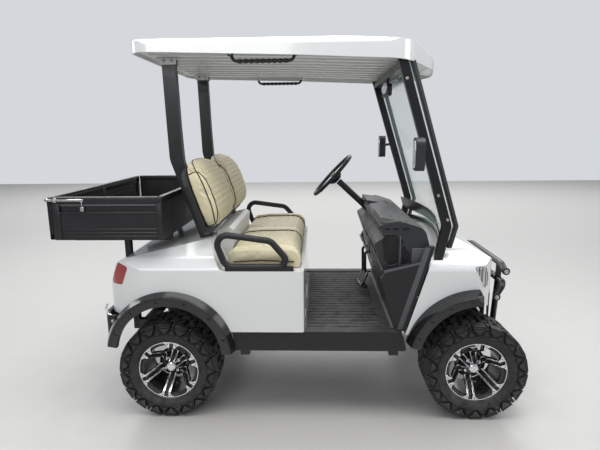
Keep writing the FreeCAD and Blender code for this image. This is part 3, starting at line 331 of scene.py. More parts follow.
    def bolt(self, spot: Point, out: Point, radius: float, height: float, sides: int = 6, finish: int = 0) -> "Form":
        """Adds a bolt head on its washer.

        Args:
            spot: where it stands.
            out: which way its head points.
            radius: the head's radius.
            height: the head's height.
            sides: six for a hexagon, more for a round head.
            finish: the number of its material.
        Returns:
            The form itself.
        """
        foot, way = Vector(spot), Vector(out).normalized()
        self.rod(foot - way * 0.001, foot + way * height * 0.35, radius * 1.5, 14, radius * 0.12, finish)
        return self.rod(foot + way * height * 0.3, foot + way * height, radius, sides, radius * 0.22, finish)

    def ball(self, centre: Point, size: Point, finish: int = 0, rings: int = 12) -> "Form":
        """Adds a ball, stretched along each axis to its own radius."""
        part = bmesh.new()
        bmesh.ops.create_uvsphere(part, u_segments=rings * 2, v_segments=rings, radius=1.0)
        bmesh.ops.scale(part, vec=size, verts=part.verts)
        bmesh.ops.translate(part, vec=centre, verts=part.verts)
        return self.take(part, finish)

    def copies(self, moves: Sequence[Matrix]) -> "Form":
        """Repeats all that there is so far at further places."""
        carrier = bpy.data.meshes.new("repeat")
        self.mesh.to_mesh(carrier)
        for move in moves:
            part = bmesh.new()
            part.from_mesh(carrier)
            bmesh.ops.transform(part, matrix=move, verts=part.verts)
            self.take(part)
        bpy.data.meshes.remove(carrier)
        return self

    def mirror(self) -> "Form":
        """Adds the same again on the other side of the cart."""
        bmesh.ops.mirror(self.mesh, geom=self.mesh.verts[:] + self.mesh.edges[:] + self.mesh.faces[:],
                         matrix=Matrix.Identity(4), merge_dist=0.0, axis="Y")
        return self

    def move(self, matrix: Matrix) -> "Form":
        """Moves all that there is so far."""
        bmesh.ops.transform(self.mesh, matrix=matrix, verts=self.mesh.verts)
        return self

    def wrap(self, shape: Callable[[Vector], Vector]) -> "Form":
        """Moves every point as a rule says."""
        for spot in self.mesh.verts:
            spot.co = shape(spot.co)
        return self

    def mark(self, finish: int, test: Callable[[bmesh.types.BMFace], bool]) -> "Form":
        """Gives another material to the faces that pass a test."""
        for face in self.mesh.faces:
            if test(face):
                face.material_index = finish
        return self

    def done(self, name: str, finishes: Materials, body: str = "cart", slot: str = "",
             replaces: Sequence[str] = (), sharp: float = 35.0) -> bpy.types.Object:
        """Closes the piece and puts it on the cart.

        Args:
            name: the piece's name.
            finishes: its materials.
            body: the CAD body that it moves with.
            slot: the record's material slot; not used.
            replaces: the CAD nodes that it stands for.
            sharp: the angle above which an edge stays sharp, in degrees.
        Returns:
            The finished object.
        """
        bmesh.ops.remove_doubles(self.mesh, verts=self.mesh.verts, dist=2e-6)
        bmesh.ops.recalc_face_normals(self.mesh, faces=self.mesh.faces)
        return put_on(bpy.data.objects.new(name, mesh_from(self.mesh, name)), finishes, body, replaces, sharp)


def put_on(piece: bpy.types.Object, finishes: Materials, body: str,
           replaces: Sequence[str] = (), sharp: float = 35.0) -> bpy.types.Object:
    """Gives a piece its materials and lets it ride on a body.

    Args:
        piece: the object.
        finishes: its materials.
        body: the CAD body that it moves with.
        replaces: the CAD nodes that it stands for.
        sharp: the angle above which an edge stays sharp, in degrees.
    Returns:
        The same object.
    """
    if piece.name not in bpy.context.scene.objects:
        bpy.context.scene.collection.objects.link(piece)
    for finish in finishes:
        piece.data.materials.append(finish)
    piece.data.shade_smooth()
    piece.data.set_sharp_from_angle(angle=math.radians(sharp))
    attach(piece, body)
    if replaces:
        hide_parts(*replaces)
    log.info("%s: %d faces on %s", piece.name, len(piece.data.polygons), body)
    return piece


def rounded(part: Part, edge: float, least: float = 25.0) -> Part:
    """Rounds the sharp edges of a part.

    Args:
        part: the part.
        edge: how far its edges are rounded, or zero.
        least: the smallest angle of an edge that is rounded, in degrees.
    Returns:
        The same part.
    """
    if edge:
        sharp = [e for e in part.edges if len(e.link_faces) == 2 and e.calc_face_angle() > math.radians(least)]
        bmesh.ops.bevel(part, geom=sharp, offset=edge, segments=2, profile=0.5, affect="EDGES", material=-1,
                        clamp_overlap=True)
    return part


class Wiring:
    """Adds shader nodes to a tree and joins them."""

    def __init__(self, tree: bpy.types.NodeTree) -> None:
        """Works on one tree."""
        self.tree = tree

    def node(self, kind: str, inputs: Mapping[str | int, Any] | None = None, **settings: Any) -> bpy.types.Node:
        """Adds a node.

        Args:
            kind: the node's type.
            inputs: a value or another node's socket for each named input.
            settings: the node's own properties.
        Returns:
            The node.
        """
        made = self.tree.nodes.new(kind)
        for key, value in settings.items():
            setattr(made, key, value)
        for key, value in (inputs or {}).items():
            if isinstance(value, Socket):
                self.tree.links.new(value, made.inputs[key])
            else:
                made.inputs[key].default_value = value
        return made

    def sum(self, operation: str, first: Any, second: Any = 0.0, clamp: bool = False) -> Socket:
        """The result of a sum of two values or sockets."""
        return self.node("ShaderNodeMath", {0: first, 1: second}, operation=operation, use_clamp=clamp).outputs[0]

    def plus(self, first: Any, second: Any, clamp: bool = False) -> Socket:
        """Two values added up."""
        return self.sum("ADD", first, second, clamp)

    def times(self, first: Any, second: Any, clamp: bool = False) -> Socket:
        """Two values multiplied."""
        return self.sum("MULTIPLY", first, second, clamp)

    def blend(self, share: Any, first: Any, second: Any) -> Socket:
        """A mix of two colours."""
        return self.node("ShaderNodeMix", {0: share, 6: first, 7: second}, data_type="RGBA").outputs[2]

    def span(self, value: Any, low: float, high: float, to_low: float, to_high: float) -> Socket:
        """A value brought from one range to another."""
        return self.node("ShaderNodeMapRange", {0: value, 1: low, 2: high, 3: to_low, 4: to_high}).outputs[0]

    def split(self, vector: Any, index: int) -> Socket:
        """One number of a vector."""
        return self.node("ShaderNodeSeparateXYZ", {0: vector}).outputs[index]

    def noise(self, where: Any, scale: Any, detail: float = 3.0, rough: float = 0.5) -> Socket:
        """A soft random value over the surface."""
        inputs = {"Vector": where, "Scale": scale, "Detail": detail, "Roughness": rough}
        return self.node("ShaderNodeTexNoise", inputs).outputs[0]

    def waves(self, where: Any, axis: int, pitch: float) -> Socket:
        """Straight waves between zero and a half, which follow each other along an axis."""
        return self.sum("PINGPONG", self.sum("DIVIDE", self.split(where, axis), pitch), 0.5)


class Effect(Wiring):
    """A surface effect that several finishes share, as a shader node group."""

    def __init__(self, name: str, inputs: Mapping[str, Any], outputs: Mapping[str, str]) -> None:
        """Makes the group with its inputs and outputs.

        Args:
            name: the group's name.
            inputs: the usual value of each input besides the place: a number, a vector or a colour.
            outputs: each output's kind.
        """
        super().__init__(bpy.data.node_groups.new(name, "ShaderNodeTree"))
        for label, usual in {"Where": (0.0, 0.0, 0.0), **inputs}.items():
            size = len(usual) if isinstance(usual, tuple) else 1
            kind = {1: "Float", 3: "Vector", 4: "Color"}[size]
            socket = self.tree.interface.new_socket(label, in_out="INPUT", socket_type="NodeSocket" + kind)
            socket.default_value = usual
        for label, kind in outputs.items():
            self.tree.interface.new_socket(label, in_out="OUTPUT", socket_type="NodeSocket" + kind)
        self.given = self.node("NodeGroupInput").outputs
        self.result = self.node("NodeGroupOutput").inputs

    def give(self, **sockets: Socket) -> bpy.types.NodeTree:
        """Joins sockets to the group's outputs and gives the finished group."""
        for label, socket in sockets.items():
            self.tree.links.new(socket, self.result[label])
        return self.tree


def mottle_effect() -> bpy.types.NodeTree:
    """Large soft patches that lighten and darken a colour."""
    w = Effect("mottle", {"Scale": 6.0, "Amount": 0.05, "Colour": (0.5, 0.5, 0.5, 1)}, {"Colour": "Color"})
    g = w.given
    patches = w.noise(g["Where"], g["Scale"], 4.0)
    light = w.plus(w.times(w.sum("SUBTRACT", patches, 0.5), w.times(g["Amount"], 4.0)), 1.0)
    scaled = w.node("ShaderNodeVectorMath", {0: g["Colour"], 3: light}, operation="SCALE")
    return w.give(Colour=scaled.outputs[0])


def smudge_effect() -> bpy.types.NodeTree:
    """Wiped patches and fine wipe marks that vary a roughness."""
    w = Effect("smudge", {"Scale": 8.0, "Low": 0.3, "High": 0.45}, {"Roughness": "Float"})
    g = w.given
    patches = w.noise(g["Where"], g["Scale"], 5.0, 0.6)
    streaked = w.node("ShaderNodeMapping", {"Vector": g["Where"], "Scale": (3.0, 40.0, 9.0)}, vector_type="POINT")
    marks = w.noise(streaked.outputs[0], g["Scale"], 2.0)
    sharp = w.span(w.plus(w.times(patches, 0.75), w.times(marks, 0.25)), 0.35, 0.65, 0.0, 1.0)
    spread = w.sum("SUBTRACT", g["High"], g["Low"])
    return w.give(Roughness=w.plus(g["Low"], w.times(sharp, spread), clamp=True))


def grain_effect() -> bpy.types.NodeTree:
    """The moulded grain of plastic and vinyl: small cells with soft valleys between them."""
    w = Effect("grain", {"Scale": 700.0, "Share": 0.5}, {"Height": "Float"})
    g = w.given
    cells = w.node("ShaderNodeTexVoronoi", {"Vector": g["Where"], "Scale": g["Scale"]}, feature="F1")
    fine = w.noise(g["Where"], w.times(g["Scale"], 2.3), 2.0)
    left = w.sum("SUBTRACT", 1.0, g["Share"])
    return w.give(Height=w.plus(w.times(cells.outputs["Distance"], g["Share"]), w.times(fine, left)))


def dust_effect() -> bpy.types.NodeTree:
    """Fine dust that lies on faces that look up, and on the lowest part of the cart."""
    w = Effect("dust", {"Amount": 0.2, "Colour": (0.1, 0.1, 0.1, 1), "Dust": (0.33, 0.31, 0.28, 1)},
               {"Colour": "Color", "Mask": "Float"})
    g = w.given
    upward = w.span(w.split(w.node("ShaderNodeNewGeometry").outputs["Normal"], 2), 0.2, 1.0, 0.0, 1.0)
    low = w.span(w.split(g["Where"], 2), 0.05, 0.55, 0.8, 0.0)
    specks = w.span(w.noise(g["Where"], 23.0, 6.0, 0.65), 0.38, 0.7, 0.0, 1.0)
    mask = w.times(w.times(w.plus(upward, low, clamp=True), specks), g["Amount"], clamp=True)
    return w.give(Colour=w.blend(mask, g["Colour"], g["Dust"]), Mask=mask)


def edge_wear_and_highlight_effect() -> bpy.types.NodeTree:
    """A mask of edges where the rounded normal leaves the flat one: scuffs, and on the tyre tread a painted edge
    highlight.
    """
    w = Effect("edge_wear_and_highlight", {"Rounded": (0.0, 0.0, 1.0), "Amount": 0.5}, {"Mask": "Float"})
    g = w.given
    flat = w.node("ShaderNodeNewGeometry").outputs["Normal"]
    along = w.node("ShaderNodeVectorMath", {0: flat, 1: g["Rounded"]}, operation="DOT_PRODUCT")
    edge = w.span(along.outputs["Value"], 0.995, 0.93, 0.0, 1.0)
    broken = w.span(w.noise(g["Where"], 60.0, 5.0, 0.7), 0.45, 0.62, 0.0, 1.0)
    return w.give(Mask=w.times(w.times(edge, broken), g["Amount"], clamp=True))


class Effects:
    """The shared effects, made once."""

    def __init__(self) -> None:
        """Makes each group."""
        self.mottle = mottle_effect()
        self.smudge = smudge_effect()
        self.grain = grain_effect()
        self.dust = dust_effect()
        self.edge_wear_and_highlight = edge_wear_and_highlight_effect()


class Skin(Wiring):
    """The wiring of one new material, with the place on the surface and the shared effects."""

    def __init__(self, name: str, effects: Effects) -> None:
        """Starts a material with an empty tree."""
        self.made = bpy.data.materials.new(name)
        self.made.use_nodes = True
        self.made.node_tree.nodes.clear()
        super().__init__(self.made.node_tree)
        self.effects, self.where = effects, self.node("ShaderNodeTexCoord").outputs["Object"]

    def effect(self, tree: bpy.types.NodeTree, **inputs: Any) -> bpy.types.NodeOutputs:
        """The outputs of a shared effect at this place, given its other inputs."""
        return self.node("ShaderNodeGroup", {"Where": self.where, **inputs}, node_tree=tree).outputs

    def finished(self, inputs: Mapping[str | int, Any]) -> bpy.types.Material:
        """Gives the Principled shader its inputs, joins it to the output and gives the material."""
        shader = self.node("ShaderNodeBsdfPrincipled", inputs)
        self.node("ShaderNodeOutputMaterial", {"Surface": shader.outputs[0]})
        return self.made


@dataclass(frozen=True)
class Finish:
    """One surface finish, from paint to rubber, with its own grain, smudges, dust, and lighter edges that are scuffs
    and, on the tread, a painted highlight.
    """

    name: str
    colour: Point
    rough: tuple[float, float] = (0.4, 0.5)
    metal: float = 0.0
    coat: float = 0.0
    grain: float = 0.0
    grain_scale: float = 700.0
    ripple: float = 0.0
    patches: float = 0.04
    dust: float = 0.0
    edge_wear_and_highlight: float = 0.0
    edge_wear_and_highlight_colour: Point = (0.5, 0.5, 0.5)
    edge: float = 0.0008
    sheen: float = 0.0

    def colour_over(self, w: Skin) -> Socket:
        """The colour before dust and wear, which some finishes draw a pattern into."""
        return w.effect(w.effects.mottle, Amount=self.patches, Colour=(*self.colour, 1))[0]

    def height_over(self, w: Skin) -> Socket:
        """The height of the grain and of the paint's ripple, in millimetres."""
        height = w.times(w.effect(w.effects.grain, Scale=self.grain_scale)[0], self.grain)
        return w.plus(height, w.times(w.noise(w.where, 45.0, 2.0), self.ripple)) if self.ripple else height

    def material(self, effects: Effects) -> bpy.types.Material:
        """Builds the material, whose shader has its constants on its own sockets.

        Args:
            effects: the shared effects.
        Returns:
            The material.
        """
        w = Skin(self.name, effects)
        bump = {"Strength": 1.0, "Distance": 0.001, "Height": self.height_over(w)}
        rough = w.effect(effects.smudge, Low=self.rough[0], High=self.rough[1])[0]
        colour = self.colour_over(w)
        if self.edge:
            bump["Normal"] = w.node("ShaderNodeBevel", {"Radius": self.edge}, samples=4).outputs[0]
            if self.edge_wear_and_highlight:
                # Lighter edges: scuffs, and on the tyre tread a painted highlight along the blocks' edges.
                scuffed_and_highlit_edges = w.effect(effects.edge_wear_and_highlight, Rounded=bump["Normal"], Amount=self.edge_wear_and_highlight)[0]
                colour = w.blend(scuffed_and_highlit_edges, colour, (*self.edge_wear_and_highlight_colour, 1))
        if self.dust:
            colour, mask = w.effect(effects.dust, Colour=colour, Amount=self.dust)[:2]
            rough = w.plus(rough, w.times(mask, 0.35), clamp=True)
        return w.finished({
            "Metallic": self.metal, "Coat Weight": self.coat, "Coat Roughness": 0.06, "Specular IOR Level": 0.5,
            "Sheen Weight": self.sheen, "Sheen Roughness": 0.4, "Base Color": colour, "Roughness": rough,
            "Normal": w.node("ShaderNodeBump", bump).outputs[0]})


@dataclass(frozen=True)
class Leather(Finish):
    """Seat vinyl: creased grain, with sewn valleys that a mesh attribute marks."""

    valley_tint: Point = (0.2, 0.13, 0.07)

    def colour_over(self, w: Skin) -> Socket:
        """The vinyl's colour, darker along the sewn valleys."""
        sewn = w.node("ShaderNodeAttribute", attribute_name="sewn").outputs["Fac"]
        return w.blend(w.times(sewn, 0.75, clamp=True), super().colour_over(w), (*self.valley_tint, 1))

    def height_over(self, w: Skin) -> Socket:
        """Leather pebbles with a few long soft creases."""
        creases = w.node("ShaderNodeTexVoronoi", {"Vector": w.where, "Scale": 110.0}, feature="DISTANCE_TO_EDGE")
        valley = w.span(creases.outputs["Distance"], 0.0, 0.12, -0.12, 0.0)
        return w.plus(super().height_over(w), valley)


@dataclass(frozen=True)
class Ribbed(Finish):
    """Rubber or plastic with straight ribs along the cart."""

    pitch: float = 0.012
    depth: float = 0.9

    def height_over(self, w: Skin) -> Socket:
        """The ribs' height over the grain."""
        return w.plus(super().height_over(w), w.span(w.waves(w.where, 1, self.pitch), 0.16, 0.3, 0.0, self.depth))


@dataclass(frozen=True)
class Machined(Finish):
    """Bright metal with fine turning marks about an axle."""

    centre: Point = (0.0, 0.0, 0.0)

    def height_over(self, w: Skin) -> Socket:
        """Fine rings about the axle."""
        moved = w.node("ShaderNodeMapping", {"Vector": w.where, "Location": [-c for c in self.centre]})
        flat = w.node("ShaderNodeVectorMath", {0: moved.outputs[0], 1: (1.0, 0.0, 1.0)}, operation="MULTIPLY")
        reach = w.node("ShaderNodeVectorMath", {0: flat.outputs[0]}, operation="LENGTH").outputs["Value"]
        return w.times(w.sum("SINE", w.times(reach, 5200.0)), 0.012)


@dataclass(frozen=True)
class Glass:
    """Tinted sheet glass, with a darker strip above a height."""

    name: str
    colour: Point
    clear: float
    shade_from: float
    rough: float = 0.02
    streaks: float = 0.1

    def material(self, effects: Effects) -> bpy.types.Material:
        """Builds the material with the shared effects."""
        w = Skin(self.name, effects)
        rough = w.effect(effects.smudge, Low=self.rough, High=self.rough + self.streaks, Scale=4.0)[0]
        tint = w.noise(w.where, 3.0, 2.0)
        band = w.span(w.split(w.where, 2), self.shade_from, self.shade_from + 0.03, 0.0, 0.55)
        alpha = w.plus(w.plus(1.0 - self.clear, w.times(tint, 0.06)), band, clamp=True)
        pane = w.blend(tint, (*self.colour, 1), (*(c * 0.9 for c in self.colour), 1))
        colour = w.blend(band, pane, (0.03, 0.09, 0.07, 1))
        return w.finished({"Base Color": colour, "Roughness": rough, "Alpha": alpha, "IOR": 1.5})


@dataclass(frozen=True)
class Lens:
    """A coloured moulded lamp lens with fluted optics behind its skin, whose colour carries painted shade in the
    flutes' valleys.
    """

    name: str
    colour: Point
    flute: float = 0.006
    glow: float = 0.0

    def material(self, effects: Effects) -> bpy.types.Material:
        """Builds the material with fluted waves both ways, which also darken its colour in their valleys as painted
        shade.
        """
        w = Skin(self.name, effects)
        both = w.times(w.waves(w.where, 2, self.flute), w.waves(w.where, 1, self.flute))
        bump = w.node("ShaderNodeBump", {"Strength": 0.5, "Distance": 0.002, "Height": both})
        # Painted shade: the colour falls to about a third in the flutes' valleys and is full on their crests.
        dark, bright = ((*(c * share for c in self.colour), 1) for share in (0.35, 1.0))
        return w.finished({
            "Base Color": w.blend(w.span(both, 0.0, 0.2, 0.0, 1.0), dark, bright),
            "Roughness": w.span(w.noise(w.where, 30.0), 0.3, 0.7, 0.06, 0.16), "Coat Weight": 1.0,
            "Coat Roughness": 0.02, "Normal": bump.outputs[0], "Emission Color": bright,
            "Emission Strength": self.glow})


FINISHES: dict[str, Finish | Glass | Lens] = {
    "body_white": Finish("gloss_white_body", (0.76, 0.77, 0.765), (0.1, 0.2), coat=0.6, ripple=0.05, patches=0.012,
        dust=0.1, edge=0.0025),
    "cover_white": Finish("satin_white_plastic", (0.7, 0.705, 0.7), (0.35, 0.5), grain=0.03, patches=0.02, dust=0.08,
        edge=0.0015),
    "flare_black": Finish("gloss_black_flare", (0.005, 0.0055, 0.007), (0.12, 0.24), coat=0.5, ripple=0.05, dust=0.04,
        edge_wear_and_highlight=0.08, edge_wear_and_highlight_colour=(0.05, 0.05, 0.055), edge=0.0015),
    "trim_dark": Finish("moulded_black_trim", (0.01, 0.01, 0.0115), (0.42, 0.58), grain=0.09, dust=0.08, edge_wear_and_highlight=0.2,
        edge_wear_and_highlight_colour=(0.05, 0.05, 0.055), edge=0.0015),
    "grip_black": Finish("soft_black_grip", (0.012, 0.012, 0.013), (0.4, 0.6), grain=0.08, grain_scale=900.0,
        dust=0.05, sheen=0.08),
    "dash_grey": Finish("grained_dash_plastic", (0.024, 0.025, 0.028), (0.4, 0.56), grain=0.1, grain_scale=520.0,
        dust=0.12, edge_wear_and_highlight=0.2, edge_wear_and_highlight_colour=(0.1, 0.1, 0.11), edge=0.002),
    "trim_strip": Finish("grey_trim_strip", (0.085, 0.088, 0.095), (0.38, 0.5), grain=0.07, dust=0.12, edge=0.002),
    "floor_mat": Ribbed("ribbed_floor_mat", (0.03, 0.031, 0.032), (0.55, 0.75), grain=0.12, grain_scale=420.0,
        patches=0.1, dust=0.34, pitch=0.013, depth=1.2),
    "frame_black": Finish("powder_coated_tube", (0.006, 0.0065, 0.008), (0.27, 0.42), grain=0.035, grain_scale=1100.0,
        coat=0.15, dust=0.04, edge_wear_and_highlight=0.15, edge_wear_and_highlight_colour=(0.12, 0.12, 0.12), edge=0.0015),
    "axle_steel": Finish("painted_axle_steel", (0.05, 0.05, 0.052), (0.42, 0.6), metal=0.35, grain=0.1,
        grain_scale=300.0, patches=0.12, dust=0.35, edge_wear_and_highlight=0.4, edge_wear_and_highlight_colour=(0.3, 0.29, 0.28), edge=0.0015),
    "box_black": Finish("black_bed_plastic", (0.013, 0.013, 0.0145), (0.3, 0.44), grain=0.05, dust=0.16, edge_wear_and_highlight=0.25,
        edge_wear_and_highlight_colour=(0.09, 0.09, 0.09), edge=0.0022),
    "chrome": Finish("bright_chrome", (0.78, 0.78, 0.79), (0.07, 0.16), metal=1.0, patches=0.03, dust=0.05,
        edge=0.0008),
    "bolt_zinc": Finish("zinc_bolt", (0.55, 0.55, 0.54), (0.22, 0.4), metal=1.0, grain=0.02, patches=0.08, dust=0.1,
        edge=0.0004),
    "bolt_black": Finish("black_bolt", (0.02, 0.02, 0.021), (0.28, 0.42), metal=0.6, dust=0.1, edge=0.0004),
    "mirror_silver": Finish("mirror_glass", (0.86, 0.88, 0.88), (0.015, 0.05), metal=1.0, patches=0.01, edge=0.0),
    "leather": Leather("cream_seat_vinyl", (0.7, 0.63, 0.42), (0.38, 0.52), grain=0.1, grain_scale=420.0,
        patches=0.035, dust=0.03, edge=0.0, sheen=0.05),
    "piping": Finish("dark_brown_piping", (0.035, 0.022, 0.014), (0.42, 0.55), grain=0.05, grain_scale=900.0,
        edge=0.0),
    "rim_black": Finish("gloss_black_rim", (0.008, 0.008, 0.009), (0.14, 0.3), coat=0.5, patches=0.06, dust=0.1,
        edge=0.0008),
    "sidewall": Finish("tyre_sidewall_rubber", (0.013, 0.0133, 0.0145), (0.48, 0.66), grain=0.05, grain_scale=500.0,
        patches=0.1, dust=0.2, edge=0.0008),
    # The tread's lighter block edges are a painted highlight as well as scuffs.
    "tread": Finish("tyre_tread_rubber", (0.02, 0.02, 0.0195), (0.55, 0.75), grain=0.12, grain_scale=380.0,
        patches=0.14, dust=0.3, edge_wear_and_highlight=0.35, edge_wear_and_highlight_colour=(0.1, 0.098, 0.092), edge=0.0014),
    # Painted shade: a darker rubber for the tyre's tread floor and sunk outlines, and for the dark vent openings,
    # pocket fields and headlight lines.
    "groove": Finish("painted_recess_shade_rubber", (0.0075, 0.0075, 0.008), (0.75, 0.9), grain=0.05, grain_scale=380.0,
        patches=0.1),
    "battery": Finish("battery_case_plastic", (0.03, 0.03, 0.034), (0.5, 0.65), grain=0.08, dust=0.4, edge=0.002),
    "screen_glass": Glass("green_tinted_glass", (0.6, 0.8, 0.71), clear=0.84, shade_from=1.795),
    "lamp_red": Lens("red_lamp_lens", (0.52, 0.012, 0.01), glow=0.05),
}
SLOTS = {"seat_cover_white": "cover_white", "latch_chrome": "chrome", "lamp_clear": "chrome", "seat_leather": "leather",
         "tyre_rubber": "sidewall", "battery_case": "battery"}


class Palette:
    """All finishes of the cart, made once and named by what they are."""

    def __init__(self, effects: Effects) -> None:
        """Builds each material with the shared effects."""
        self.effects = effects
        self.made = {name: finish.material(effects) for name, finish in FINISHES.items()}

    def of(self, *names: str) -> list[bpy.types.Material]:
        """The materials with these names."""
        return [self.made[name] for name in names]

    def for_slot(self, slot: str) -> bpy.types.Material:
        """The finish of a material slot of the record, which mostly has the slot's own name."""
        return self.made[SLOTS.get(slot, slot)]

    def machined(self, label: str, centre: Point) -> bpy.types.Material:
        """Bright turned metal centred on one wheel."""
        finish = Machined("machined_face_" + label, (0.82, 0.82, 0.83), (0.16, 0.26), metal=1.0, patches=0.02,
                          dust=0.04, edge=0.0006, centre=centre)
        return finish.material(self.effects)


@dataclass
class Studio:
    """The floor, the light and the camera."""

    camera_spot: Point = (0.120, -2.930, 1.546)
    pitch: float = 11.12
    yaw: float = -2.03
    roll: float = 0.0104
    lens: float = 28.2

    def floor(self) -> None:
        """Lays a plain pale floor."""
        form = Form().block((-12, -12, -0.02), (12, 12, 0.0))
        shell = mesh_from(form.mesh, "studio_floor")
        slab = bpy.data.objects.new("studio_floor", shell)
        bpy.context.scene.collection.objects.link(slab)
        pale = Finish("pale_studio_floor", (0.50, 0.49, 0.475), (0.38, 0.5), patches=0.01, edge=0.0)
        shell.materials.append(pale.material(PALETTE.effects))

    def lamp(self, name: str, spot: Point, aim: Point, size: tuple[float, float], power: float) -> None:
        """Hangs a soft box.

        Args:
            name: its name.
            spot: where it hangs.
            aim: the point that it faces.
            size: its width and height.
            power: its power in watts.
        """
        light = bpy.data.lights.new(name, "AREA")
        light.shape, light.size, light.size_y, light.energy = "RECTANGLE", *size, power
        box = bpy.data.objects.new(name, light)
        box.location = spot
        box.rotation_euler = (Vector(aim) - Vector(spot)).to_track_quat("-Z", "Y").to_euler()
        bpy.context.scene.collection.objects.link(box)

    def light(self) -> None:
        """Lights the cart softly from above and from the camera's side."""
        world = bpy.data.worlds.new("studio")
        world.use_nodes = True
        w = Wiring(world.node_tree)
        w.tree.nodes.clear()
        soft = w.node("ShaderNodeBackground", {"Color": (0.86, 0.90, 0.96, 1), "Strength": 0.40})
        seen = w.node("ShaderNodeBackground", {"Color": (0.66, 0.68, 0.71, 1), "Strength": 1.0})
        ray = w.node("ShaderNodeLightPath").outputs["Is Camera Ray"]
        both = w.node("ShaderNodeMixShader", {0: ray, 1: soft.outputs[0], 2: seen.outputs[0]})
        w.node("ShaderNodeOutputWorld", {"Surface": both.outputs[0]})
        bpy.context.scene.world = world
        bpy.context.scene.view_settings.view_transform = "Standard"
        self.lamp("top_box", (0.2, -0.8, 4.3), (0, 0.1, 0.6), (4.6, 2.6), 185)
        self.lamp("camera_box", (-1.6, -5.0, 3.2), (0, 0, 0.7), (3.0, 1.8), 60)
        self.lamp("front_box", (4.6, -1.6, 2.8), (0.4, 0, 0.8), (1.8, 1.8), 42)
        self.lamp("rear_box", (-4.8, 1.6, 3.0), (-0.4, 0, 0.8), (2.4, 1.8), 42)
        self.lamp("far_box", (0.0, 8.0, 6.0), (0.0, 6.5, 0.0), (16.0, 5.0), 900)

    def camera(self) -> None:
        """Sets the camera where the photograph was taken."""
        pitch, yaw = math.radians(self.pitch), math.radians(self.yaw)
        ahead = Vector((math.sin(yaw) * math.cos(pitch), math.cos(yaw) * math.cos(pitch), -math.sin(pitch)))
        right = Vector((math.cos(yaw), -math.sin(yaw), 0))
        right = Matrix.Rotation(self.roll, 3, ahead) @ right
        up = right.cross(ahead)
        eye = bpy.data.cameras.new("photo_camera")
        eye.sensor_width, eye.lens = 36.0, self.lens
        spot = bpy.data.objects.new("photo_camera", eye)
        spot.matrix_world = Matrix((right, up, -ahead)).transposed().to_4x4()
        spot.location = self.camera_spot
        bpy.context.scene.collection.objects.link(spot)
        bpy.context.scene.camera = spot

    def build(self) -> None:
        """Makes floor, light and camera."""
        self.floor()
        self.light()
        self.camera()


